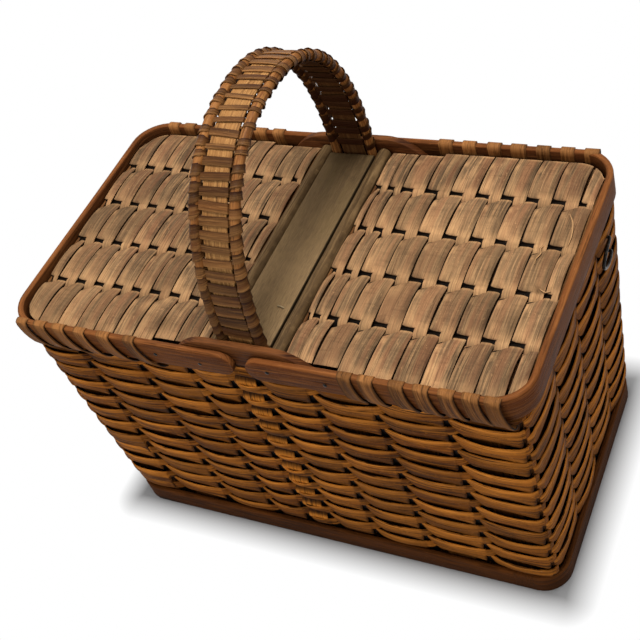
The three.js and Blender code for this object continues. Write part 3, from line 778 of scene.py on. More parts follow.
def weave_wall(name, shares, first_column, half_length, face, turn):
    """One wall, woven from the foot up, with its uprights. Columns are counted on round the
    basket, so that over and under go on from wall to wall."""
    sizes = bpy.context.scene.basket_sizes
    lift = sizes.wall_lift / MM
    work = Workpiece()
    rng = random.Random(first_column * 101 + 7)
    starts = column_starts(shares)
    wall_length = 2 * (half_length(140) - WALL_CORNER + WALL_CORNER * math.pi / 4)
    handle_side = len(shares) == len(SIDE_COLUMNS)
    slim = (HANDLE_COLUMN,) if handle_side else ()
    front = first_column == 0
    for course in range(COURSES):
        centre = WEAVE_FOOT + (course + 0.5) * COURSE_PITCH
        width = 2 * COURSE_PITCH * (0.9 + 0.1 * rng.random())
        top = min(centre + COURSE_PITCH - 0.3, WEAVE_TOP)
        cells = [(start * wall_length, (end - start) * wall_length,
                  (first_column + column + course) % 2 == 0)
                 for column, (start, end) in enumerate(zip(starts, starts[1:]))]
        sag = rng.random() * 6

        def shape(spot):
            z = top - (1 - spot.across) * width + spot.wave
            # The first splint of a broad course at the left front corner hangs lower
            broad = 0.0
            if front and course in BROAD_COURSES and spot.along < cells[0][1]:
                broad = eased(spot.stop / 12) * eased(spot.left / 3)
                z -= 9.5 * broad * (1 - spot.across)
            # Each course sags a little along the wall, and each splint has its own width and height
            z += 0.6 * math.sin(spot.along * 0.021 + sag)
            z += (spot.mottle - 0.42) * 4.2 * (1 - spot.across) * spot.profile
            z += (0.5 - (spot.mottle * 7) % 1) * 2.0 * spot.profile
            out = tucked(spot.height * lift + spot.extra + 1.2 * broad, z)
            # The top of an end wall leans out to the inner rim hoop
            if not handle_side:
                out += 1.2 * eased((z - 259) / 4)
            at = wall_place(half_length, face, spot.along / wall_length, z, out, turn)
            # A splint carries a painted highlight along its upper edge and near its pointed start,
            # and painted shade along its lower part
            pale, dark = 0.0, spot.dark
            if spot.over:
                pale = 0.9 * eased((spot.shown - 0.62) / 0.38) * (0.4 + 0.6 * spot.profile)
                if spot.shown > 0.6:
                    pale = max(pale, 0.6 * (1 - eased((spot.stop - 2) / 11)))
                dark = max(dark, 0.5 * eased((0.45 - spot.shown) / 0.45) * spot.profile)
            if front:
                stain_x, stain_z, half_x, half_z = FRONT_STAIN
                from_stain = math.hypot((at.x - stain_x) / half_x, (at.z - stain_z) / half_z)
                dark = max(dark, 0.85 * (1 - eased(from_stain)))
            return (at, (spot.along * MM, spot.across * width * MM, spot.seed),
                    (pale, dark, spot.mottle))

        lay_strip(work, cells, shape, rng, WALL_LAY, rng.random() * 50, slim,
                  snug=not handle_side)
    work.thicken(sizes.splint / MM)
    for column, (start, end) in enumerate(zip(starts, starts[1:])):
        add_upright(work, half_length, face, turn, (start + end) / 2,
                    handle_side and column == HANDLE_COLUMN, rng, first_column + column)
    outward = spun(turn) @ -ALONG_Y
    work.dull_inside(outward, 0.55)
    work.finish(f"{name}_weave", "wall", "basket", "weave", [name])


def add_upright(work, half_length, face, turn, share, scaled, rng, column):
    """An upright of the wall. The one under the handle swells out between the strips that cross
    it, and shows as a row of scales."""
    width, steps = (19.0, 92) if scaled else (26.0, 24)
    seed = rng.random() * 50
    low, high = 2.0, INNER_HOOP_TOP - 0.4
    side = spun(turn) @ ALONG_X
    lift = spun(turn) @ -ALONG_Y
    stations = []
    for i in range(steps + 1):
        z = lerp(low, high, i / steps)
        out = -1.0
        if scaled:
            phase = (z - WEAVE_FOOT) / (2 * COURSE_PITCH) + (0.5 if column % 2 else 0.0)
            out = 0.8 + 1.7 * math.cos(2 * math.pi * (phase + 0.27))
            out = min(out, 0.2) if z > 252 or z < 24 else out
        out = tucked(out, z)
        at = wall_place(half_length, face, share, z, out, turn)
        stations.append(Station(at, side, lift, width, 1.6, out))

    # Painted shade: the uprights show only in the gaps between strips. On the upright under the
    # handle the raised scales carry a painted highlight and the hollows between them painted shade.
    def tone(station, x, y):
        if not scaled:
            return (0.0, 0.8, 0.5)
        raised = eased((station.raised - 0.2) / 2.2)
        return (0.9 * raised, 0.85 * (1 - raised), 0.55)

    work.bar(stations, soft_box(0.03, 0.3), seed, tone=tone)


class BASKET_OT_walls(bpy.types.Operator):
    """Weave the four walls, each with its uprights"""
    bl_idname = "basket.walls"
    bl_label = "Walls"

    def execute(self, context):
        weave_wall("wall_front", SIDE_COLUMNS, 0, end_face, side_face, 0)
        weave_wall("wall_right", END_COLUMNS, 9, side_face, end_face, math.pi / 2)
        weave_wall("wall_back", SIDE_COLUMNS[::-1], 13, end_face, side_face, math.pi)
        weave_wall("wall_left", END_COLUMNS, 22, side_face, end_face, -math.pi / 2)
        return {"FINISHED"}


def weave_floor():
    """The floor: wide splints woven one over and one under."""
    work = Workpiece()
    rng = random.Random(31)
    across_count, along_count = 9, 17

    def strips(count, other_count, half, other_half, along_is_x, parity):
        pitch = 2 * other_half / count
        for index in range(count):
            centre = (index + 0.5) * pitch - other_half
            seed = rng.random() * 50
            mottle = rng.random()
            steps = other_count * 6

            def place(i, j):
                share = i / steps
                along = lerp(-half, half, share)
                wave = math.cos(math.pi * (share * other_count - 0.5))
                z = FLOOR_HEIGHT + 0.9 * wave * (1 if (index + parity) % 2 else -1)
                across = centre + (j / 2 - 0.5) * (pitch - 0.2)
                at = (along, across, z) if along_is_x else (across, -along, z)
                # Painted shade darkens each strip where it turns down between over and under
                return (Vector(at), (along * MM, across * MM, seed),
                        (0.0, 0.25 * (1 - abs(wave)), mottle))

            work.sheet(steps, 2, place)

    strips(across_count, along_count, FLOOR_HALF_LENGTH, FLOOR_HALF_DEPTH, True, 0)
    strips(along_count, across_count, FLOOR_HALF_DEPTH, FLOOR_HALF_LENGTH, False, 1)
    work.thicken(0.9)
    work.finish("floor_weave", "wall", "basket", "weave", ["woven_floor"])


class BASKET_OT_floor(bpy.types.Operator):
    """Weave the floor"""
    bl_idname = "basket.floor"
    bl_label = "Floor"

    def execute(self, context):
        weave_floor()
        return {"FINISHED"}


def round_corner_run(half_x, half_y, radius):
    """Places round a rectangle with round corners, and which way is out at each."""
    spacing, corner_steps = 18.0, 9
    places = []
    corners = ((1, -1, -math.pi / 2), (1, 1, 0.0), (-1, 1, math.pi / 2), (-1, -1, math.pi))
    for sx, sy, start in corners:
        centre = Vector((sx * (half_x - radius), sy * (half_y - radius), 0))
        for step in range(corner_steps + 1):
            angle = start + math.pi / 2 * step / corner_steps
            out = Vector((math.cos(angle), math.sin(angle), 0))
            places.append((centre + out * radius, out))
        last, out = places[-1]
        ahead = Vector((-out.y, out.x, 0))
        straight = 2 * ((half_y if abs(ahead.y) > 0.5 else half_x) - radius)
        count = max(int(straight / spacing), 1)
        for step in range(1, count):
            places.append((last + ahead * (straight * step / count), out))
    return places


def closed_hoop(name, half_x, half_y, radius, thickness, low, high, finish, seed):
    """A flat band bent round the basket, with its top edge paler, partly worn and partly a painted
    highlight, and painted shade at its foot.
    """
    work = Workpiece()
    middle = UP * ((low + high) / 2)
    stations = [Station(at + middle, UP, out, high - low, thickness)
                for at, out in round_corner_run(half_x - thickness / 2, half_y - thickness / 2,
                                                radius - thickness / 2)]

    def tone(station, x, y):
        return (0.3 * eased((x - 0.42) / 0.06), 0.35 * eased((-0.35 - x) / 0.1), 0.5)

    work.bar(stations, soft_box(0.06, 0.3), seed, closed=True, tone=tone)
    work.finish(f"{name}_bent", finish, "basket", "hoop", [name])


# The rounded ends of the outer rim hoop: how far from the middle of the basket they start, how long
# they are, and the shares of that length at which they have a cross section

RIM_END_SHARES = (0.004, 0.03, 0.09, 0.18, 0.3, 0.5, 0.75, 1.0)
RIM_END_START = 6.0
RIM_END_LENGTH = 12.0


def rim_half(name, turn, seed):
    """Half of the outer rim hoop: a bent band whose two ends are rounded like a paddle."""
    work = Workpiece()
    spin = spun(turn)
    middle = RIM_HALF_DEPTH - RIM_THICKNESS / 2
    middle_end = RIM_HALF_LENGTH - RIM_THICKNESS / 2
    radius = RIM_CORNER - RIM_THICKNESS / 2

    def rounded_end(y, angle):
        return [(RIM_END_START + share * RIM_END_LENGTH, y, angle,
                 RIM_HEIGHT * math.sqrt(1 - (1 - share) ** 2)) for share in RIM_END_SHARES]

    straight = [lerp(RIM_END_START + RIM_END_LENGTH, middle_end - radius, step / 9)
                for step in range(1, 9)]
    rows = rounded_end(-middle, 0.0)
    rows += [(x, -middle, 0.0, RIM_HEIGHT) for x in straight]
    for side in (-1, 1):
        for step in range(10):
            angle = math.pi / 2 * ((side + 1) / 2 + step / 9)
            rows.append((middle_end - radius + radius * math.sin(angle),
                         side * (middle - radius) - radius * math.cos(angle), angle, RIM_HEIGHT))
        if side < 0:
            rows += [(middle_end, lerp(radius - middle, middle - radius, step / 8), math.pi / 2,
                      RIM_HEIGHT) for step in range(1, 8)]
    rows += [(x, middle, math.pi, RIM_HEIGHT) for x in straight[::-1]]
    rows += rounded_end(middle, math.pi)[::-1]
    stations = []
    for index, (x, y, angle, height) in enumerate(rows):
        out = Vector((math.sin(angle), -math.cos(angle), 0))
        waver = 0.35 * math.sin(index * 0.7 + seed)
        at = Vector((x, y, RIM_TOP - RIM_HEIGHT / 2)) + out * waver * 0.5
        stations.append(Station(spin @ at, UP, spin @ out, height, RIM_THICKNESS))

    # The top edge is paler, partly worn and partly a painted highlight, most on the outside;
    # painted shade darkens the inner face and the foot
    def tone(station, x, y):
        top_edge = eased((x - 0.43) / 0.05)
        foot = eased((-0.36 - x) / 0.1)
        inside = eased((-0.3 - y) / 0.15) * (1 - top_edge)
        return (top_edge * (0.26 if y > -0.2 else 0.1), 0.5 * inside + 0.3 * foot, 0.5)

    work.bar(stations, soft_box(0.07, 0.28), seed, tone=tone)
    work.finish(f"{name}_bent", "hoop", "basket", "hoop", [name])


NAILS = ((-78.0, 270.0), (-36.7, 267.3), (25.4, 271.1), (74.0, 268.0))


def nail_heads():
    """Small nails that hold the ends of the rim hoop, on both sides of the basket."""
    work = Workpiece()
    for x, z in NAILS:
        for side in (-1, 1):
            made = bmesh.ops.create_uvsphere(work.bm, u_segments=12, v_segments=8, radius=1.7)
            bmesh.ops.scale(work.bm, vec=(1, 0.45, 1), verts=made["verts"])
            bmesh.ops.translate(work.bm, vec=(x, side * (RIM_HALF_DEPTH + 0.1), z),
                                verts=made["verts"])
    work.finish("rim_nails", "wire", "basket", "wire", [])


class BASKET_OT_hoops(bpy.types.Operator):
    """Bend the base hoop, the inner rim hoop and the two halves of the outer rim hoop"""
    bl_idname = "basket.hoops"
    bl_label = "Hoops"

    def execute(self, context):
        closed_hoop("base_hoop", BASE_HALF_LENGTH, BASE_HALF_DEPTH, BASE_CORNER, BASE_THICKNESS,
                    0, BASE_HEIGHT, "base", 3.0)
        closed_hoop("rim_hoop_inner", INNER_HOOP_OUTER + LENGTH_OVER_DEPTH, INNER_HOOP_OUTER,
                    RIM_CORNER - RIM_THICKNESS, INNER_HOOP_THICKNESS,
                    INNER_HOOP_TOP - INNER_HOOP_HEIGHT, INNER_HOOP_TOP, "hoop", 9.0)
        rim_half("rim_hoop_right", 0, 17.0)
        rim_half("rim_hoop_left", math.pi, 23.0)
        nail_heads()
        return {"FINISHED"}


# The strap that lashes the rim goes up inside the outer hoop, over its top, and down its face with
# a swing to one side before it hooks in under the hoop. Each place is how far out it is, how high,
# and how far it has swung.

STRAP_PATH = (
    (122.7, 262.0, 0.0), (122.7, 270.0, 0.0), (122.6, 277.0, 0.0), (122.9, 281.6, 0.0),
    (124.4, 283.1, 0.1), (127.2, 283.2, 0.3), (129.4, 282.2, 0.6), (130.2, 279.0, 1.0),
    (130.4, 274.0, 2.0), (130.5, 269.0, 3.6), (130.4, 264.0, 6.0), (130.0, 259.5, 9.0),
    (128.6, 255.5, 12.5), (126.2, 252.5, 15.5), (123.2, 250.5, 18.0),
)

# How low a strap may hang: where it doesn't swing, and where it swings fully

STRAP_LOW = (256.5, 250.5)


def lash_quarter(name, turn, places, seed, swing):
    """The turns of the strap round one quarter of the rim. Across the strap, the fifth place is
    its raised edge and the sixth a flap under that edge, painted dark as the shadow that the edge
    casts."""
    sizes = bpy.context.scene.basket_sizes
    work = Workpiece()
    rng = random.Random(seed)
    spin = spun(turn)
    last = len(STRAP_PATH) - 1
    for centre in places:
        mottle = rng.random()
        grain_seed = rng.random() * 50
        width = sizes.strap / MM * (0.92 + 0.2 * rng.random())
        reach = swing * (0.85 + 0.3 * rng.random())

        def place(i, j):
            out, z, shift = STRAP_PATH[i]
            z = max(z, lerp(*STRAP_LOW, swing))
            share = i / last
            across = min(j, 4) / 4 - 0.5
            spread = 1 + 0.25 * eased((share - 0.5) / 0.4)
            narrow = 1 - 0.35 * eased((share - 0.85) / 0.15)
            lifted = 2.2 * max(across, 0.0) * eased((share - 0.4) / 0.2)
            if j == 5:
                across += 0.14
                lifted = 0.0
            x = centre + shift * reach + across * width * spread * narrow
            at = spin @ Vector((x, -(out + lifted + 0.3), z))
            # Painted shade inside and where it hooks in, a painted highlight on the top of the rim
            # and along its raised edge, painted shade along its other edge, and a painted shadow
            # under the raised edge
            dark = 0.55 * eased((share - 0.8) / 0.2) + 0.3 * eased((0.2 - share) / 0.2)
            pale = (0.3 if j == 4 else 0.0) * eased((share - 0.3) / 0.2) * (1 - dark)
            pale = max(pale, 0.45 * (1 - eased(abs(z - RIM_TOP) / 4)))
            if j == 0:
                dark = max(dark, 0.5)
            if j == 5:
                dark = eased((share - 0.3) / 0.15)
            return at, (i * 5 * MM, across * width * MM, grain_seed), (pale, dark, mottle)

        work.sheet(last, 5, place)
    work.thicken(1.0)
    work.finish(f"{name}_strap", "strap", "basket", "lashing", [name])


class BASKET_OT_lashing(bpy.types.Operator):
    """Wind the strap round the rim hoop"""
    bl_idname = "basket.lashing"
    bl_label = "Lashing"

    def execute(self, context):
        lash_quarter("lashing_front_left", 0, (-212, -193, -173, -151, -127, -101), 41, 1.0)
        lash_quarter("lashing_front_right", 0, (92, 109, 133, 152, 171, 189, 205), 43, 0.5)
        lash_quarter("lashing_back_right", math.pi, (-208, -188, -168, -147, -126, -104, -83),
                     47, 0.6)
        lash_quarter("lashing_back_left", math.pi, (80, 99, 119, 139, 158, 177, 195), 53, 0.6)
        return {"FINISHED"}


def softened(name, finish, slot, edge_radius, grain_of, tone_of):
    """A board whose shape is its solid's own, with its doubled corners merged and its edges
    rounded. The copy's mesh is the new piece's; the solid's own isn't touched."""
    work = Workpiece()
    work.bm.from_mesh(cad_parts[name].data)
    bmesh.ops.scale(work.bm, vec=(1 / MM, 1 / MM, 1 / MM), verts=work.bm.verts[:])
    bmesh.ops.remove_doubles(work.bm, verts=work.bm.verts[:], dist=0.01)
    bmesh.ops.dissolve_limit(work.bm, angle_limit=math.radians(1), verts=work.bm.verts[:],
                             edges=work.bm.edges[:])
    edges = [edge for edge in work.bm.edges
             if len(edge.link_faces) == 2 and edge.calc_face_angle() > math.radians(40)]
    bmesh.ops.bevel(work.bm, geom=edges, offset=edge_radius, offset_type="OFFSET", segments=2,
                    profile=0.5, affect="EDGES", material=-1, clamp_overlap=True)
    for corner in work.bm.verts:
        corner[work.grain] = grain_of(corner.co)
        corner[work.tone] = tone_of(corner.co)
    work.finish(f"{name}_eased", finish, "basket", slot, [name], sharp=40)


STAPLE = ((9.5, -70, 276.4), (9.5, -70, 278.3), (10.6, -70.3, 279.1), (14.2, -71, 279.1),
          (15.3, -71.2, 278.3), (15.3, -71.2, 276.4))


def staple():
    """The small wire staple in the middle board."""
    work = Workpiece()
    places = through([Vector(corner) for corner in STAPLE], 16)
    work.bar(run_of(places, ALONG_Y, 0.7, 0.7), round_section(8), 1.0)
    work.finish("board_staple", "staple", "basket", "wire", [])


# The middle board carries painted shade beyond this, in the groove beside the right lid's rod

BOARD_GROOVE = 21.0


class BASKET_OT_middle(bpy.types.Operator):
    """Make the ear boards, the middle board and its staple"""
    bl_idname = "basket.middle"
    bl_label = "Ear boards and middle board"

    def execute(self, context):
        # Each ear board carries a painted highlight along its top edge
        for side, seed in (("front", 5.0), ("back", 11.0)):
            softened(f"ear_board_{side}", "ear", "ear", 1.1,
                     lambda at: (at.x * MM, (at.z + at.y) * MM, seed),
                     lambda at: (0.5 * eased((at.z - 285.5) / 2), 0.0, 0.5))
        # The middle board is paler towards the front, and carries painted shade in the groove
        # beside the right lid's rod
        softened("centre_board", "board", "board", 1.0,
                 lambda at: (at.y * MM, (at.x + at.z) * MM, 2.0),
                 lambda at: (0.9 * eased((40 - at.y) / 110) if at.x < BOARD_GROOVE else 0.0,
                             0.95 if at.x > BOARD_GROOVE else 0.0, 0.8))
        staple()
        return {"FINISHED"}


# Handle


def arch_point(angle):
    """A place on the arch over the rim, from the back at 0 to the front at half a turn. The arch
    is a superellipse that leans towards the back."""
    cosine, sine = math.cos(angle), max(math.sin(angle), 0.0)
    rise = sine ** (2 / ARCH_POWER)
    y = HANDLE_PLANE * math.copysign(abs(cosine) ** (2 / ARCH_POWER), cosine)
    return Vector((0, y + ARCH_LEAN * rise, RIM_TOP + ARCH_RISE * rise))


def arch_table():
    """The arch as many short steps, from the back foot to the front one, with lengths."""
    places = [Vector((0, HANDLE_PLANE, lerp(HANDLE_FOOT, RIM_TOP, step / 6))) for step in range(6)]
    places += [arch_point(math.pi * step / 360) for step in range(361)]
    places += [Vector((0, -HANDLE_PLANE, lerp(RIM_TOP, HANDLE_FOOT, step / 6)))
               for step in range(1, 7)]
    return places, lengths_along(places)


ARCH_PLACES, ARCH_LENGTHS = arch_table()


def arch_frame(length):
    """Where the arch is at a length, and its run and lift there."""
    length = min(max(length, 0.0), ARCH_LENGTHS[-1])
    high = min(max(bisect.bisect_right(ARCH_LENGTHS, length), 1), len(ARCH_LENGTHS) - 1)
    low = high - 1
    share = (length - ARCH_LENGTHS[low]) / (ARCH_LENGTHS[high] - ARCH_LENGTHS[low])
    at = ARCH_PLACES[low].lerp(ARCH_PLACES[high], share)
    before = ARCH_PLACES[max(low - 4, 0)]
    after = ARCH_PLACES[min(high + 4, len(ARCH_PLACES) - 1)]
    along = (after - before).normalized()
    return at, along, along.cross(ALONG_X).normalized()


def handle_rod(side, seed):
    """One round rod of the handle, bent over the arch."""
    work = Workpiece()
    steps = 110
    stations = []
    for i in range(steps + 1):
        at, _, lift = arch_frame(ARCH_LENGTHS[-1] * i / steps)
        radius = ROD_RADIUS * (1 + 0.03 * math.sin(i * 0.9 + seed))
        stations.append(Station(at + ALONG_X * (side * ROD_X), ALONG_X, lift, radius, radius))
    work.bar(stations, round_section(14), seed)
    name = "handle_rod_right" if side > 0 else "handle_rod_left"
    work.finish(f"{name}_bent", "rods", "basket", "handle_rod", [name])


# Heights of the handle splint's cross sections inside the walls, and how far it lies inside the
# middle surface of a wall

TAIL_HEIGHTS = (HANDLE_SPLINT_END, 21, 80, 140, 200, 246)
TAIL_INSET = 7.3


def handle_splint():
    """The middle splint of the handle, which runs on down inside both walls to the floor."""
    work = Workpiece()
    steps = 90

    def station(at, lift):
        return Station(at, ALONG_X, lift, HANDLE_SPLINT_WIDTH, HANDLE_SPLINT_THICKNESS)

    def tail(side, z):
        plane = side_face(z) - TAIL_INSET
        at = Vector((0, side * (min(plane, HANDLE_PLANE) if z > 200 else plane), z))
        return station(at, (UP * side).cross(ALONG_X).normalized())

    stations = [tail(1, z) for z in TAIL_HEIGHTS]
    for i in range(steps + 1):
        at, _, lift = arch_frame(ARCH_LENGTHS[-1] * i / steps)
        stations.append(station(at, lift))
    stations += [tail(-1, z) for z in TAIL_HEIGHTS[::-1]]

    # The splint's edges are paler, and its underside carries painted shade
    def tone(station, x, y):
        return (0.2 * eased((abs(x) - 0.44) / 0.05), 0.85 if y < -0.2 else 0.0, 0.55)

    work.bar(stations, soft_box(0.04, 0.3), 6.0, tone=tone)
    work.finish("handle_splint_bent", "bare_splint", "basket", "handle_splint", ["handle_splint"])


def weaver_cycle():
    """One turn of the weaver: over the splint, under and round one rod, back under the splint,
    and over and round the other rod. Each stop is a place across, a lift and a share of the
    turn."""
    ring = ROD_RADIUS + WEAVER_THICKNESS
    reach = ROD_X - ring - WEAVER_GAP
    over = HANDLE_SPLINT_THICKNESS / 2 + 0.55
    stops = [(-reach, over, 0.0), (-reach * 0.5, over + 0.35, 0.0), (0.0, over + 0.5, 0.0),
             (reach * 0.5, over + 0.35, 0.0), (reach, over, 0.0)]
    sides = 12
    for i in range(sides + 1):
        angle = math.pi + 2 * math.pi * i / sides
        stops.append((ROD_X + ring * math.cos(angle), ring * math.sin(angle), i / sides / 2))
    stops += [(reach, -over, 0.5), (0.0, -over - 0.3, 0.5), (-reach, -over, 0.5)]
    for i in range(sides + 1):
        angle = 2 * math.pi * i / sides
        stops.append((-ROD_X + ring * math.cos(angle), ring * math.sin(angle),
                      (1 + i / sides) / 2))
    return stops


def handle_weaver():
    """The strip that binds the handle from foot to foot, in one piece."""
    sizes = bpy.context.scene.basket_sizes
    turns = sizes.weaver_turns
    work = Workpiece()
    rng = random.Random(61)
    # The weaver starts and ends just under the top of the ear boards
    foot = EAR_TOP - 3.5 - HANDLE_FOOT
    pitch = (ARCH_LENGTHS[-1] - 2 * foot) / turns
    cycle = weaver_cycle()
    path = []
    for turn in range(turns):
        # Each turn has its own slant, place and width: broader at the front foot, where the turns
        # lie close, and narrower a little above it
        mottle = rng.random()
        slant = 2.2 * (rng.random() - 0.5)
        slip = 1.9 * math.sin(turn * 1.9 + 1) + 1.1 * math.sin(turn * 0.83) + 0.8 * rng.random()
        broad = 0.74 + 0.5 * rng.random() + 0.3 * eased((turn - turns * 0.82) / 4)
        broad -= 0.22 * eased(1 - abs(turn / turns - 0.6) / 0.2)
        if turn in (0, turns - 1):
            slip = 0.0
        for x, lift, share in cycle:
            along_handle = foot + (turn + share) * pitch + slip * (1 - abs(2 * share - 1))
            at, along, up = arch_frame(along_handle + slant * x / ROD_X)
            # Round the left rod the strip is spread wider, and every second turn lies higher
            round_rod = abs(x) > ROD_X - ROD_RADIUS
            cover = broad
            if round_rod:
                low = eased((turn / turns - 0.7) / 0.12)
                cover = broad * (1.4 if x < 0 else lerp(0.9, 1.25, low))
            elif lift > 0:
                lift += 0.25 * (turn % 2)
            path.append((at + ALONG_X * x + up * lift, along, mottle, cover, round_rod, lift))
    last = len(path) - 1
    lengths = lengths_along([stop[0] for stop in path])

    def place(i, j):
        at, along, mottle, broad, round_rod, lift = path[i]
        before = path[max(i - 1, 0)][0]
        after = path[min(i + 1, last)][0]
        run = (after - before).normalized()
        side = -along
        out = run.cross(side).normalized()
        across = j / 3 - 0.5
        width = sizes.weaver / MM * broad
        flare = 0.9 * (0.5 - across) if round_rod else 0.0
        rise = WEAVER_THICKNESS / 2 + 0.25 * (1 - 4 * across * across) - flare
        at = at + side * (across * width) + out * rise
        # One edge carries a painted highlight and the other painted shade, the strip is darker
        # where it goes round a rod, and painted shade darkens it behind the handle
        pale = 0.5 if j == 0 else 0.0
        dark = (0.95 if round_rod else 0.7) if j == 3 else (0.22 if round_rod else 0.08)
        dark = max(dark, 0.85 * eased((0.5 - lift) / 2.4))
        return at, (lengths[i] * MM, across * width * MM, 4.0), (pale, dark, mottle)

    work.sheet(last, 3, place)
    work.thicken(WEAVER_THICKNESS)
    work.finish("handle_weaver_strip", "weaver", "basket", "handle_weaver", ["handle_weaver"])


class BASKET_OT_handle(bpy.types.Operator):
    """Bend the two rods and the splint of the handle and wind the weaver round them"""
    bl_idname = "basket.handle"
    bl_label = "Handle"

    def execute(self, context):
        handle_rod(-1, 13.0)
        handle_rod(1, 19.0)
        handle_splint()
        handle_weaver()
        return {"FINISHED"}


# Lids

# Stained and worn places: where on the lids, how far round, how dark and how pale

LID_MARKS = ((-84, -102, 17, 0.62, 0.0), (-56, -96, 11, 0.3, 0.0), (-104, -88, 13, 0.0, 0.7),
             (-93, -78, 9, 0.0, 0.5), (-60, 10, 12, 0.3, 0.0), (-85, 55, 9, 0.25, 0.0),
             (206, 8, 13, 0.25, 0.0), (96, -35, 16, 0.0, 0.35), (206, -20, 6, 0.7, 0.0))


def lid_marks(at):
    """How much darker and how much paler a place on a lid is."""
    dark = pale = 0.0
    for x, y, radius, deep, worn in LID_MARKS:
        near = 1 - eased(math.hypot(at.x - x, at.y - y) / radius)
        dark = max(dark, deep * near)
        pale = max(pale, worn * near)
    return dark, pale


def lid_reach(x):
    """How far a lid goes towards the rim at a distance from the middle of the basket."""
    over = min(max(x - (LID_END - LID_CORNER), 0.0), 0.93 * LID_CORNER)
    arc = LID_HALF_DEPTH - LID_CORNER + math.sqrt(max(LID_CORNER ** 2 - over ** 2, 0.0))
    return min(arc, LID_HALF_DEPTH)


def strip_edges(side, count, rng):
    """Where each lid splint starts and ends across the lid, and its turn over or under."""
    start, end = LID_START + 0.8, LID_END - 0.4
    # The right lid has four narrow splints beside the middle board
    narrow = 4 if side > 0 else 0
    weights = [0.6] * narrow + [0.94 + 0.12 * rng.random() for _ in range(count - narrow + 1)]
    total = sum(weights)
    marks = [start]
    for weight in weights:
        marks.append(marks[-1] + (end - start) * weight / total)
    if side < 0:
        marks = [-mark for mark in marks[::-1]]
    strips = [(marks[0], marks[1], 1)]
    strips += [(near, far, index % 2) for index, (near, far) in enumerate(zip(marks, marks[2:]))]
    strips.append((marks[-2], marks[-1], (len(marks) - 2) % 2))
    return strips


def lid_name(side):
    return "lid_right" if side > 0 else "lid_left"


def weave_lid(side):
    """The splints of one lid, from the back edge to the front one. The left lid is the darker
    one, and each splint is paler where it carries a painted highlight, where it is worn and on
    its tabs."""
    sizes = bpy.context.scene.basket_sizes
    name = lid_name(side)
    lift = sizes.lid_lift / MM
    overall_dark = 0.13 if side < 0 else 0.0
    rng = random.Random(71 if side > 0 else 73)
    work = Workpiece()
    last_rib = LID_HALF_DEPTH - RIB_PITCH
    for near, far, parity in strip_edges(side, sizes.lid_splints, rng):
        cells = [(row * RIB_PITCH, RIB_PITCH, (row + parity) % 2 == 0) for row in range(LID_ROWS)]
        width = far - near - 1.5
        drift = rng.random() * 6
        beside_ear = min(abs(near), abs(far)) < EAR_HALF_LENGTH

        def shape(spot):
            x = near + 0.75 + spot.across * width + spot.wave * 0.6
            x += 0.4 * math.sin(spot.along * 0.03 + drift)
            y = LID_HALF_DEPTH - spot.along
            if abs(y) > last_rib:
                reach = LID_HALF_DEPTH_AT_EAR if beside_ear else lid_reach(abs(x))
                y = math.copysign(lerp(last_rib, reach, (abs(y) - last_rib) / RIB_PITCH), y)
            z = LID_WEAVE + spot.height * lift + spot.extra
            # A splint carries painted highlights at its left front, at its corners and along its
            # left edge, is paler on its tabs, and carries painted shade along its right edge
            pale = 0.0
            if spot.over:
                leftward = eased((0.55 - spot.across) / 0.3)
                front = eased((0.6 * RIB_PITCH - spot.left) / (0.4 * RIB_PITCH))
                pale = 0.5 * leftward * front * spot.mottle
                corner = 1 - eased(abs(spot.stop - 12) / 4)
                pale = max(pale, 0.65 * corner * eased((0.3 - spot.shown) / 0.2))
                upper_start = (1 - eased(spot.stop / 4)) * eased((spot.across - 0.4) / 0.1)
                pale = max(pale, 0.5 * upper_start)
                if spot.shown < 0.05:
                    pale = max(pale, 0.3 * spot.profile)
            dark = max(spot.dark, overall_dark)
            if spot.shown > 0.9 and spot.over:
                dark = max(dark, 0.35 * spot.profile)
            if spot.across >= 0.5:
                tab = 1 - eased((spot.left - 3) / 9) if spot.over else 1 - eased(spot.stop / 12)
                pale = max(pale, 0.42 * tab)
            stained, worn = lid_marks(Vector((x, y, z)))
            return (Vector((x, y, z)), (spot.along * MM, spot.across * width * MM, spot.seed),
                    (max(pale, worn), max(dark, stained), spot.mottle))

        lay_strip(work, cells, shape, rng, LID_LAY, rng.random() * 50, cut_off=True)
    work.thicken(sizes.splint / MM)
    work.dull_inside(UP, 0.5)
    nodes = [f"{name}_splint_{index:02d}" for index in range(1, LID_SOLID_SPLINTS + 1)]
    work.finish(f"{name}_weave", "lid", name, "lid_splint", nodes)


# Slivers of the right lid: their width, the side that they face, and the places they run through

SPLINTERS = (
    (1.5, (1, 0, 0), ((207.2, 58, 278.6), (211.5, 50, 279.4), (213.8, 42, 279.2),
                      (214.6, 34, 278.2), (214.0, 27, 276.6))),
    (1.5, (1, 0, 0), ((196.8, 27, 275.6), (194.8, 21, 277.2), (196.6, 15, 278.2),
                      (194.9, 9, 278.6), (195.8, 3, 278.9))),
    (1.2, (0, 1, 0), ((206.0, -19, 277.2), (210.5, -21.5, 277.0), (215.0, -20.0, 277.0))),
)


def lid_splinters():
    """Slivers that stand up where splints of the right lid have split."""
    work = Workpiece()
    for number, (width, side, corners) in enumerate(SPLINTERS):
        places = through([Vector(corner) for corner in corners], 18)
        stations = run_of(places, Vector(side), width, 0.5)
        for index, station in enumerate(stations):
            station.width *= 0.35 + 0.65 * math.sin(math.pi * (index + 0.5) / len(stations))
        work.bar(stations, soft_box(0.1, 0.3), number * 7.0,
                 tone=lambda station, x, y: (0.9, 0.0, 0.75) if x > -0.2 else (0.3, 0.4, 0.5))
    work.finish("lid_right_splinters", "lid", "lid_right", "lid_splint", [])


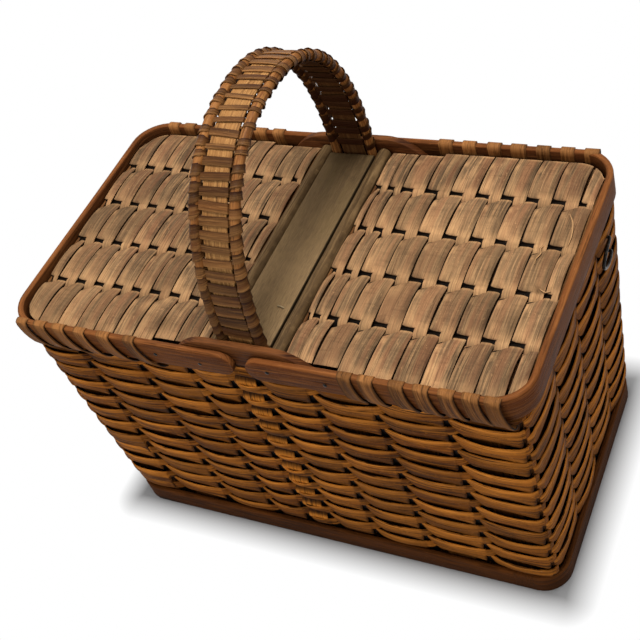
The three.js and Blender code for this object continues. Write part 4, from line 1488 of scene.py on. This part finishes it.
def lid_frame(side):
    """The ribs that the splints pass over and under, held by a batten at each end."""
    work = Workpiece()
    for row in range(LID_ROWS):
        y = (row - (LID_ROWS - 1) / 2) * RIB_PITCH
        stations = [Station(Vector((side * lerp(LID_START + 1, LID_END - 1, i / 8), y, LID_PLANE)),
                            ALONG_Y, UP, 24.0, 2.4) for i in range(9)]
        # The ribs carry painted shade, since they show only in the gaps under the splints
        work.bar(stations, soft_box(0.04, 0.3), row * 3.0,
                 tone=lambda station, x, y: (0.0, 0.55, 0.5))
    for x, reach in ((LID_START + BATTEN / 4, 112.0), (LID_END - BATTEN / 4, 99.6)):
        stations = [Station(Vector((side * x, lerp(-reach, reach, i / 12), LID_PLANE)),
                            ALONG_X, UP, BATTEN / 2, 6.2) for i in range(13)]
        # The battens carry a lighter painted shade
        work.bar(stations, soft_box(0.25, 0.25), x, tone=lambda station, x, y: (0.0, 0.25, 0.5))
    name = lid_name(side)
    work.finish(f"{name}_frame_ribs", "lid_frame", name, "lid_frame", [f"{name}_frame"])


# How far out and how thick the end of a lid's rod is turned: pin, shoulder and rod

LID_ROD_END = ((121.85, 0.3), (121.85, 2.9), (117.05, 2.9), (117.05, 3.6), (116.7, 4.6),
               (116.0, 5.3), (114.8, 5.65), (112.5, 5.75))


def lid_rod(side):
    """The round rod that a lid turns on, with a pin at each end."""
    work = Workpiece()
    rows = [(-y, radius) for y, radius in LID_ROD_END]
    rows += [(lerp(-108, 108, i / 18), 5.75 + 0.12 * math.sin(i * 1.3)) for i in range(19)]
    rows += LID_ROD_END[::-1]
    stations = [Station(Vector((side * HINGE_X, y, HINGE_Z)), ALONG_X, UP, radius, radius)
                for y, radius in rows]
    work.bar(stations, round_section(20), 7.0 + side)
    name = lid_name(side)
    work.finish(f"{name}_rod_turned", "lid_rod", name, "lid_rod", [f"{name}_rod"])


class BASKET_OT_lids(bpy.types.Operator):
    """Weave the two lids, each on its frame and its rod"""
    bl_idname = "basket.lids"
    bl_label = "Lids"

    def execute(self, context):
        for side in (-1, 1):
            lid_rod(side)
            lid_frame(side)
            weave_lid(side)
        lid_splinters()
        return {"FINISHED"}


# The wire's way from the wall and back, as shares of its solid's reach out, sweep along the wall
# and drop

WIRE_PATH = ((0, 0, 0), (0.3, 0, 0), (0.8, 0.05, 0), (1, 0.6, 0), (1, 1, 0.36), (1, 0.6, 0.72),
             (0.8, 0.05, 0.72), (0.3, 0, 0.72), (0, 0, 0.72))
WIRE_RADIUS = 1.4


class BASKET_OT_wire(bpy.types.Operator):
    """Bend the wire catch"""
    bl_idname = "basket.wire"
    bl_label = "Wire catch"

    def execute(self, context):
        low, high = (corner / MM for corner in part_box("wire_catch"))
        work = Workpiece()
        points = [Vector((lerp(low.x - 0.5, high.x - WIRE_RADIUS, reach),
                          lerp(high.y - WIRE_RADIUS, low.y + WIRE_RADIUS, sweep),
                          lerp(high.z - WIRE_RADIUS, low.z + WIRE_RADIUS, drop)))
                  for reach, sweep, drop in WIRE_PATH]
        stations = run_of(through(points, 40), Vector((0.7, 0.1, 0.7)), WIRE_RADIUS, WIRE_RADIUS)
        work.bar(stations, round_section(12), 1.0)
        work.finish("wire_catch_bent", "wire", "basket", "wire", ["wire_catch"])
        return {"FINISHED"}


# Stage

# The photograph's camera, fitted to the outlines of the rim and the base: where it stands, in
# metres, the axis and angle of its turn as one vector, and its lens in millimetres

CAMERA_PLACE = (0.45113, -0.55442, 0.90241)
CAMERA_TURN = (2.39158963, 0.372212974, -0.518786230)
CAMERA_LENS = 64.97

# The lamps point at this place, in metres. The floor carries a painted shadow, grey at the base
# hoop, and is plain white from this distance on.

LIT_PLACE = Vector((0, 0, 0.2))
PAINTED_SHADOW_GREY = (168, 168, 168)
FADE = 0.028


class BASKET_OT_stage(bpy.types.Operator):
    """Set up the floor, the lamps, the pale surroundings and the camera"""
    bl_idname = "basket.stage"
    bl_label = "Stage"

    def execute(self, context):
        scene = context.scene
        scene.view_settings.view_transform = "Standard"
        self.floor(scene)
        self.surroundings(scene)
        self.lamp(scene, "key_lamp", (0.1, 0.05, 2.15), 0.7, 38.5)
        self.lamp(scene, "fill_lamp", (0.0, -1.9, 1.2), 1.4, 10.0)
        camera = bpy.data.cameras.new("camera")
        camera.lens = CAMERA_LENS
        camera.sensor_width = 36
        camera.clip_end = 20
        holder = bpy.data.objects.new("camera", camera)
        axis = Vector(CAMERA_TURN)
        turn = (Matrix.Rotation(axis.length, 3, axis.normalized()).transposed()
                @ Matrix.Diagonal((1, -1, -1)))
        holder.matrix_world = Matrix.Translation(CAMERA_PLACE) @ turn.to_4x4()
        scene.collection.objects.link(holder)
        scene.camera = holder
        return {"FINISHED"}

    def floor(self, scene):
        """A floor sheet under the basket. Its grey near the base is a painted shadow, and it also
        takes the basket's own shadow.
        """
        made = bmesh.new()
        bmesh.ops.create_grid(made, x_segments=1, y_segments=1, size=6)
        mesh = bpy.data.meshes.new("floor")
        made.to_mesh(mesh)
        made.free()
        floor = bpy.data.objects.new("floor", mesh)
        scene.collection.objects.link(floor)
        finish = Finish("floor_painted_shadow", 0.9, 0.1)
        finish.colour(paint(*PAINTED_SHADOW_GREY))
        mesh.materials.append(finish.material)
        self.fade(finish)

    def fade(self, finish):
        """Lets the floor pass into plain white away from the basket, as the camera sees it. How
        far away a place is, is the length of what lies outside the base's rectangle."""
        away = finish.add("VectorMath", 0, {0: finish.place()}, operation="ABSOLUTE")
        base = Vector((BASE_HALF_LENGTH, BASE_HALF_DEPTH, 0)) * MM
        away = finish.add("VectorMath", 0, {0: away, 1: base}, operation="SUBTRACT")
        away = finish.add("VectorMath", 0, {0: away}, operation="MAXIMUM")
        away = finish.add("VectorMath", "Value", {0: away}, operation="LENGTH")
        share = finish.sum("MULTIPLY", finish.spread(away, 0.0, FADE), finish.seen())
        mixed = finish.either(share, finish.shader.outputs[0], finish.white("Emission"))
        finish.links.new(mixed, finish.nodes["Material Output"].inputs["Surface"])

    def surroundings(self, scene):
        """Plain light from all round, and a white background."""
        world = bpy.data.worlds.new("surroundings")
        scene.world = world
        world.use_nodes = True
        made = Nodes(world.node_tree)
        made.nodes.clear()
        mixed = made.either(made.seen(), made.white("Background", 0.5), made.white("Background"))
        output = made.nodes.new("ShaderNodeOutputWorld")
        made.links.new(mixed, output.inputs["Surface"])

    def lamp(self, scene, name, place, size, power):
        """A round lamp, its size in metres and its power in watts."""
        light = bpy.data.lights.new(name, "AREA")
        light.shape = "DISK"
        light.size = size
        light.energy = power
        holder = bpy.data.objects.new(name, light)
        holder.location = place
        holder.rotation_euler = (LIT_PLACE - Vector(place)).to_track_quat("-Z", "Y").to_euler()
        scene.collection.objects.link(holder)


class BASKET_PT_panel(bpy.types.Panel):
    """Shows the basket's sizes and colours, and a button for each step that builds it"""
    bl_label = "Splint Basket"
    bl_idname = "BASKET_PT_panel"
    bl_space_type = "VIEW_3D"
    bl_region_type = "UI"
    bl_category = "Basket"

    def draw(self, context):
        layout = self.layout
        for group in (context.scene.basket_sizes, context.scene.basket_colours):
            for name in group.bl_rna.properties.keys():
                if name not in ("rna_type", "name"):
                    layout.prop(group, name)
        for operator in OPERATORS:
            layout.operator(operator.bl_idname)


OPERATORS = (
    BASKET_OT_stage, BASKET_OT_walls, BASKET_OT_floor, BASKET_OT_hoops, BASKET_OT_lashing,
    BASKET_OT_middle, BASKET_OT_handle, BASKET_OT_lids, BASKET_OT_wire,
)
CLASSES = (BasketSizes, BasketColours, *OPERATORS, BASKET_PT_panel)


def register():
    for cls in CLASSES:
        bpy.utils.register_class(cls)
    bpy.types.Scene.basket_sizes = bpy.props.PointerProperty(type=BasketSizes)
    bpy.types.Scene.basket_colours = bpy.props.PointerProperty(type=BasketColours)


def unregister():
    del bpy.types.Scene.basket_colours
    del bpy.types.Scene.basket_sizes
    for cls in reversed(CLASSES):
        bpy.utils.unregister_class(cls)


def main():
    register()
    bpy.ops.basket.stage()
    bpy.ops.basket.walls()
    bpy.ops.basket.floor()
    bpy.ops.basket.hoops()
    bpy.ops.basket.lashing()
    bpy.ops.basket.middle()
    bpy.ops.basket.handle()
    bpy.ops.basket.lids()
    bpy.ops.basket.wire()


if __name__ == "__main__":
    main()
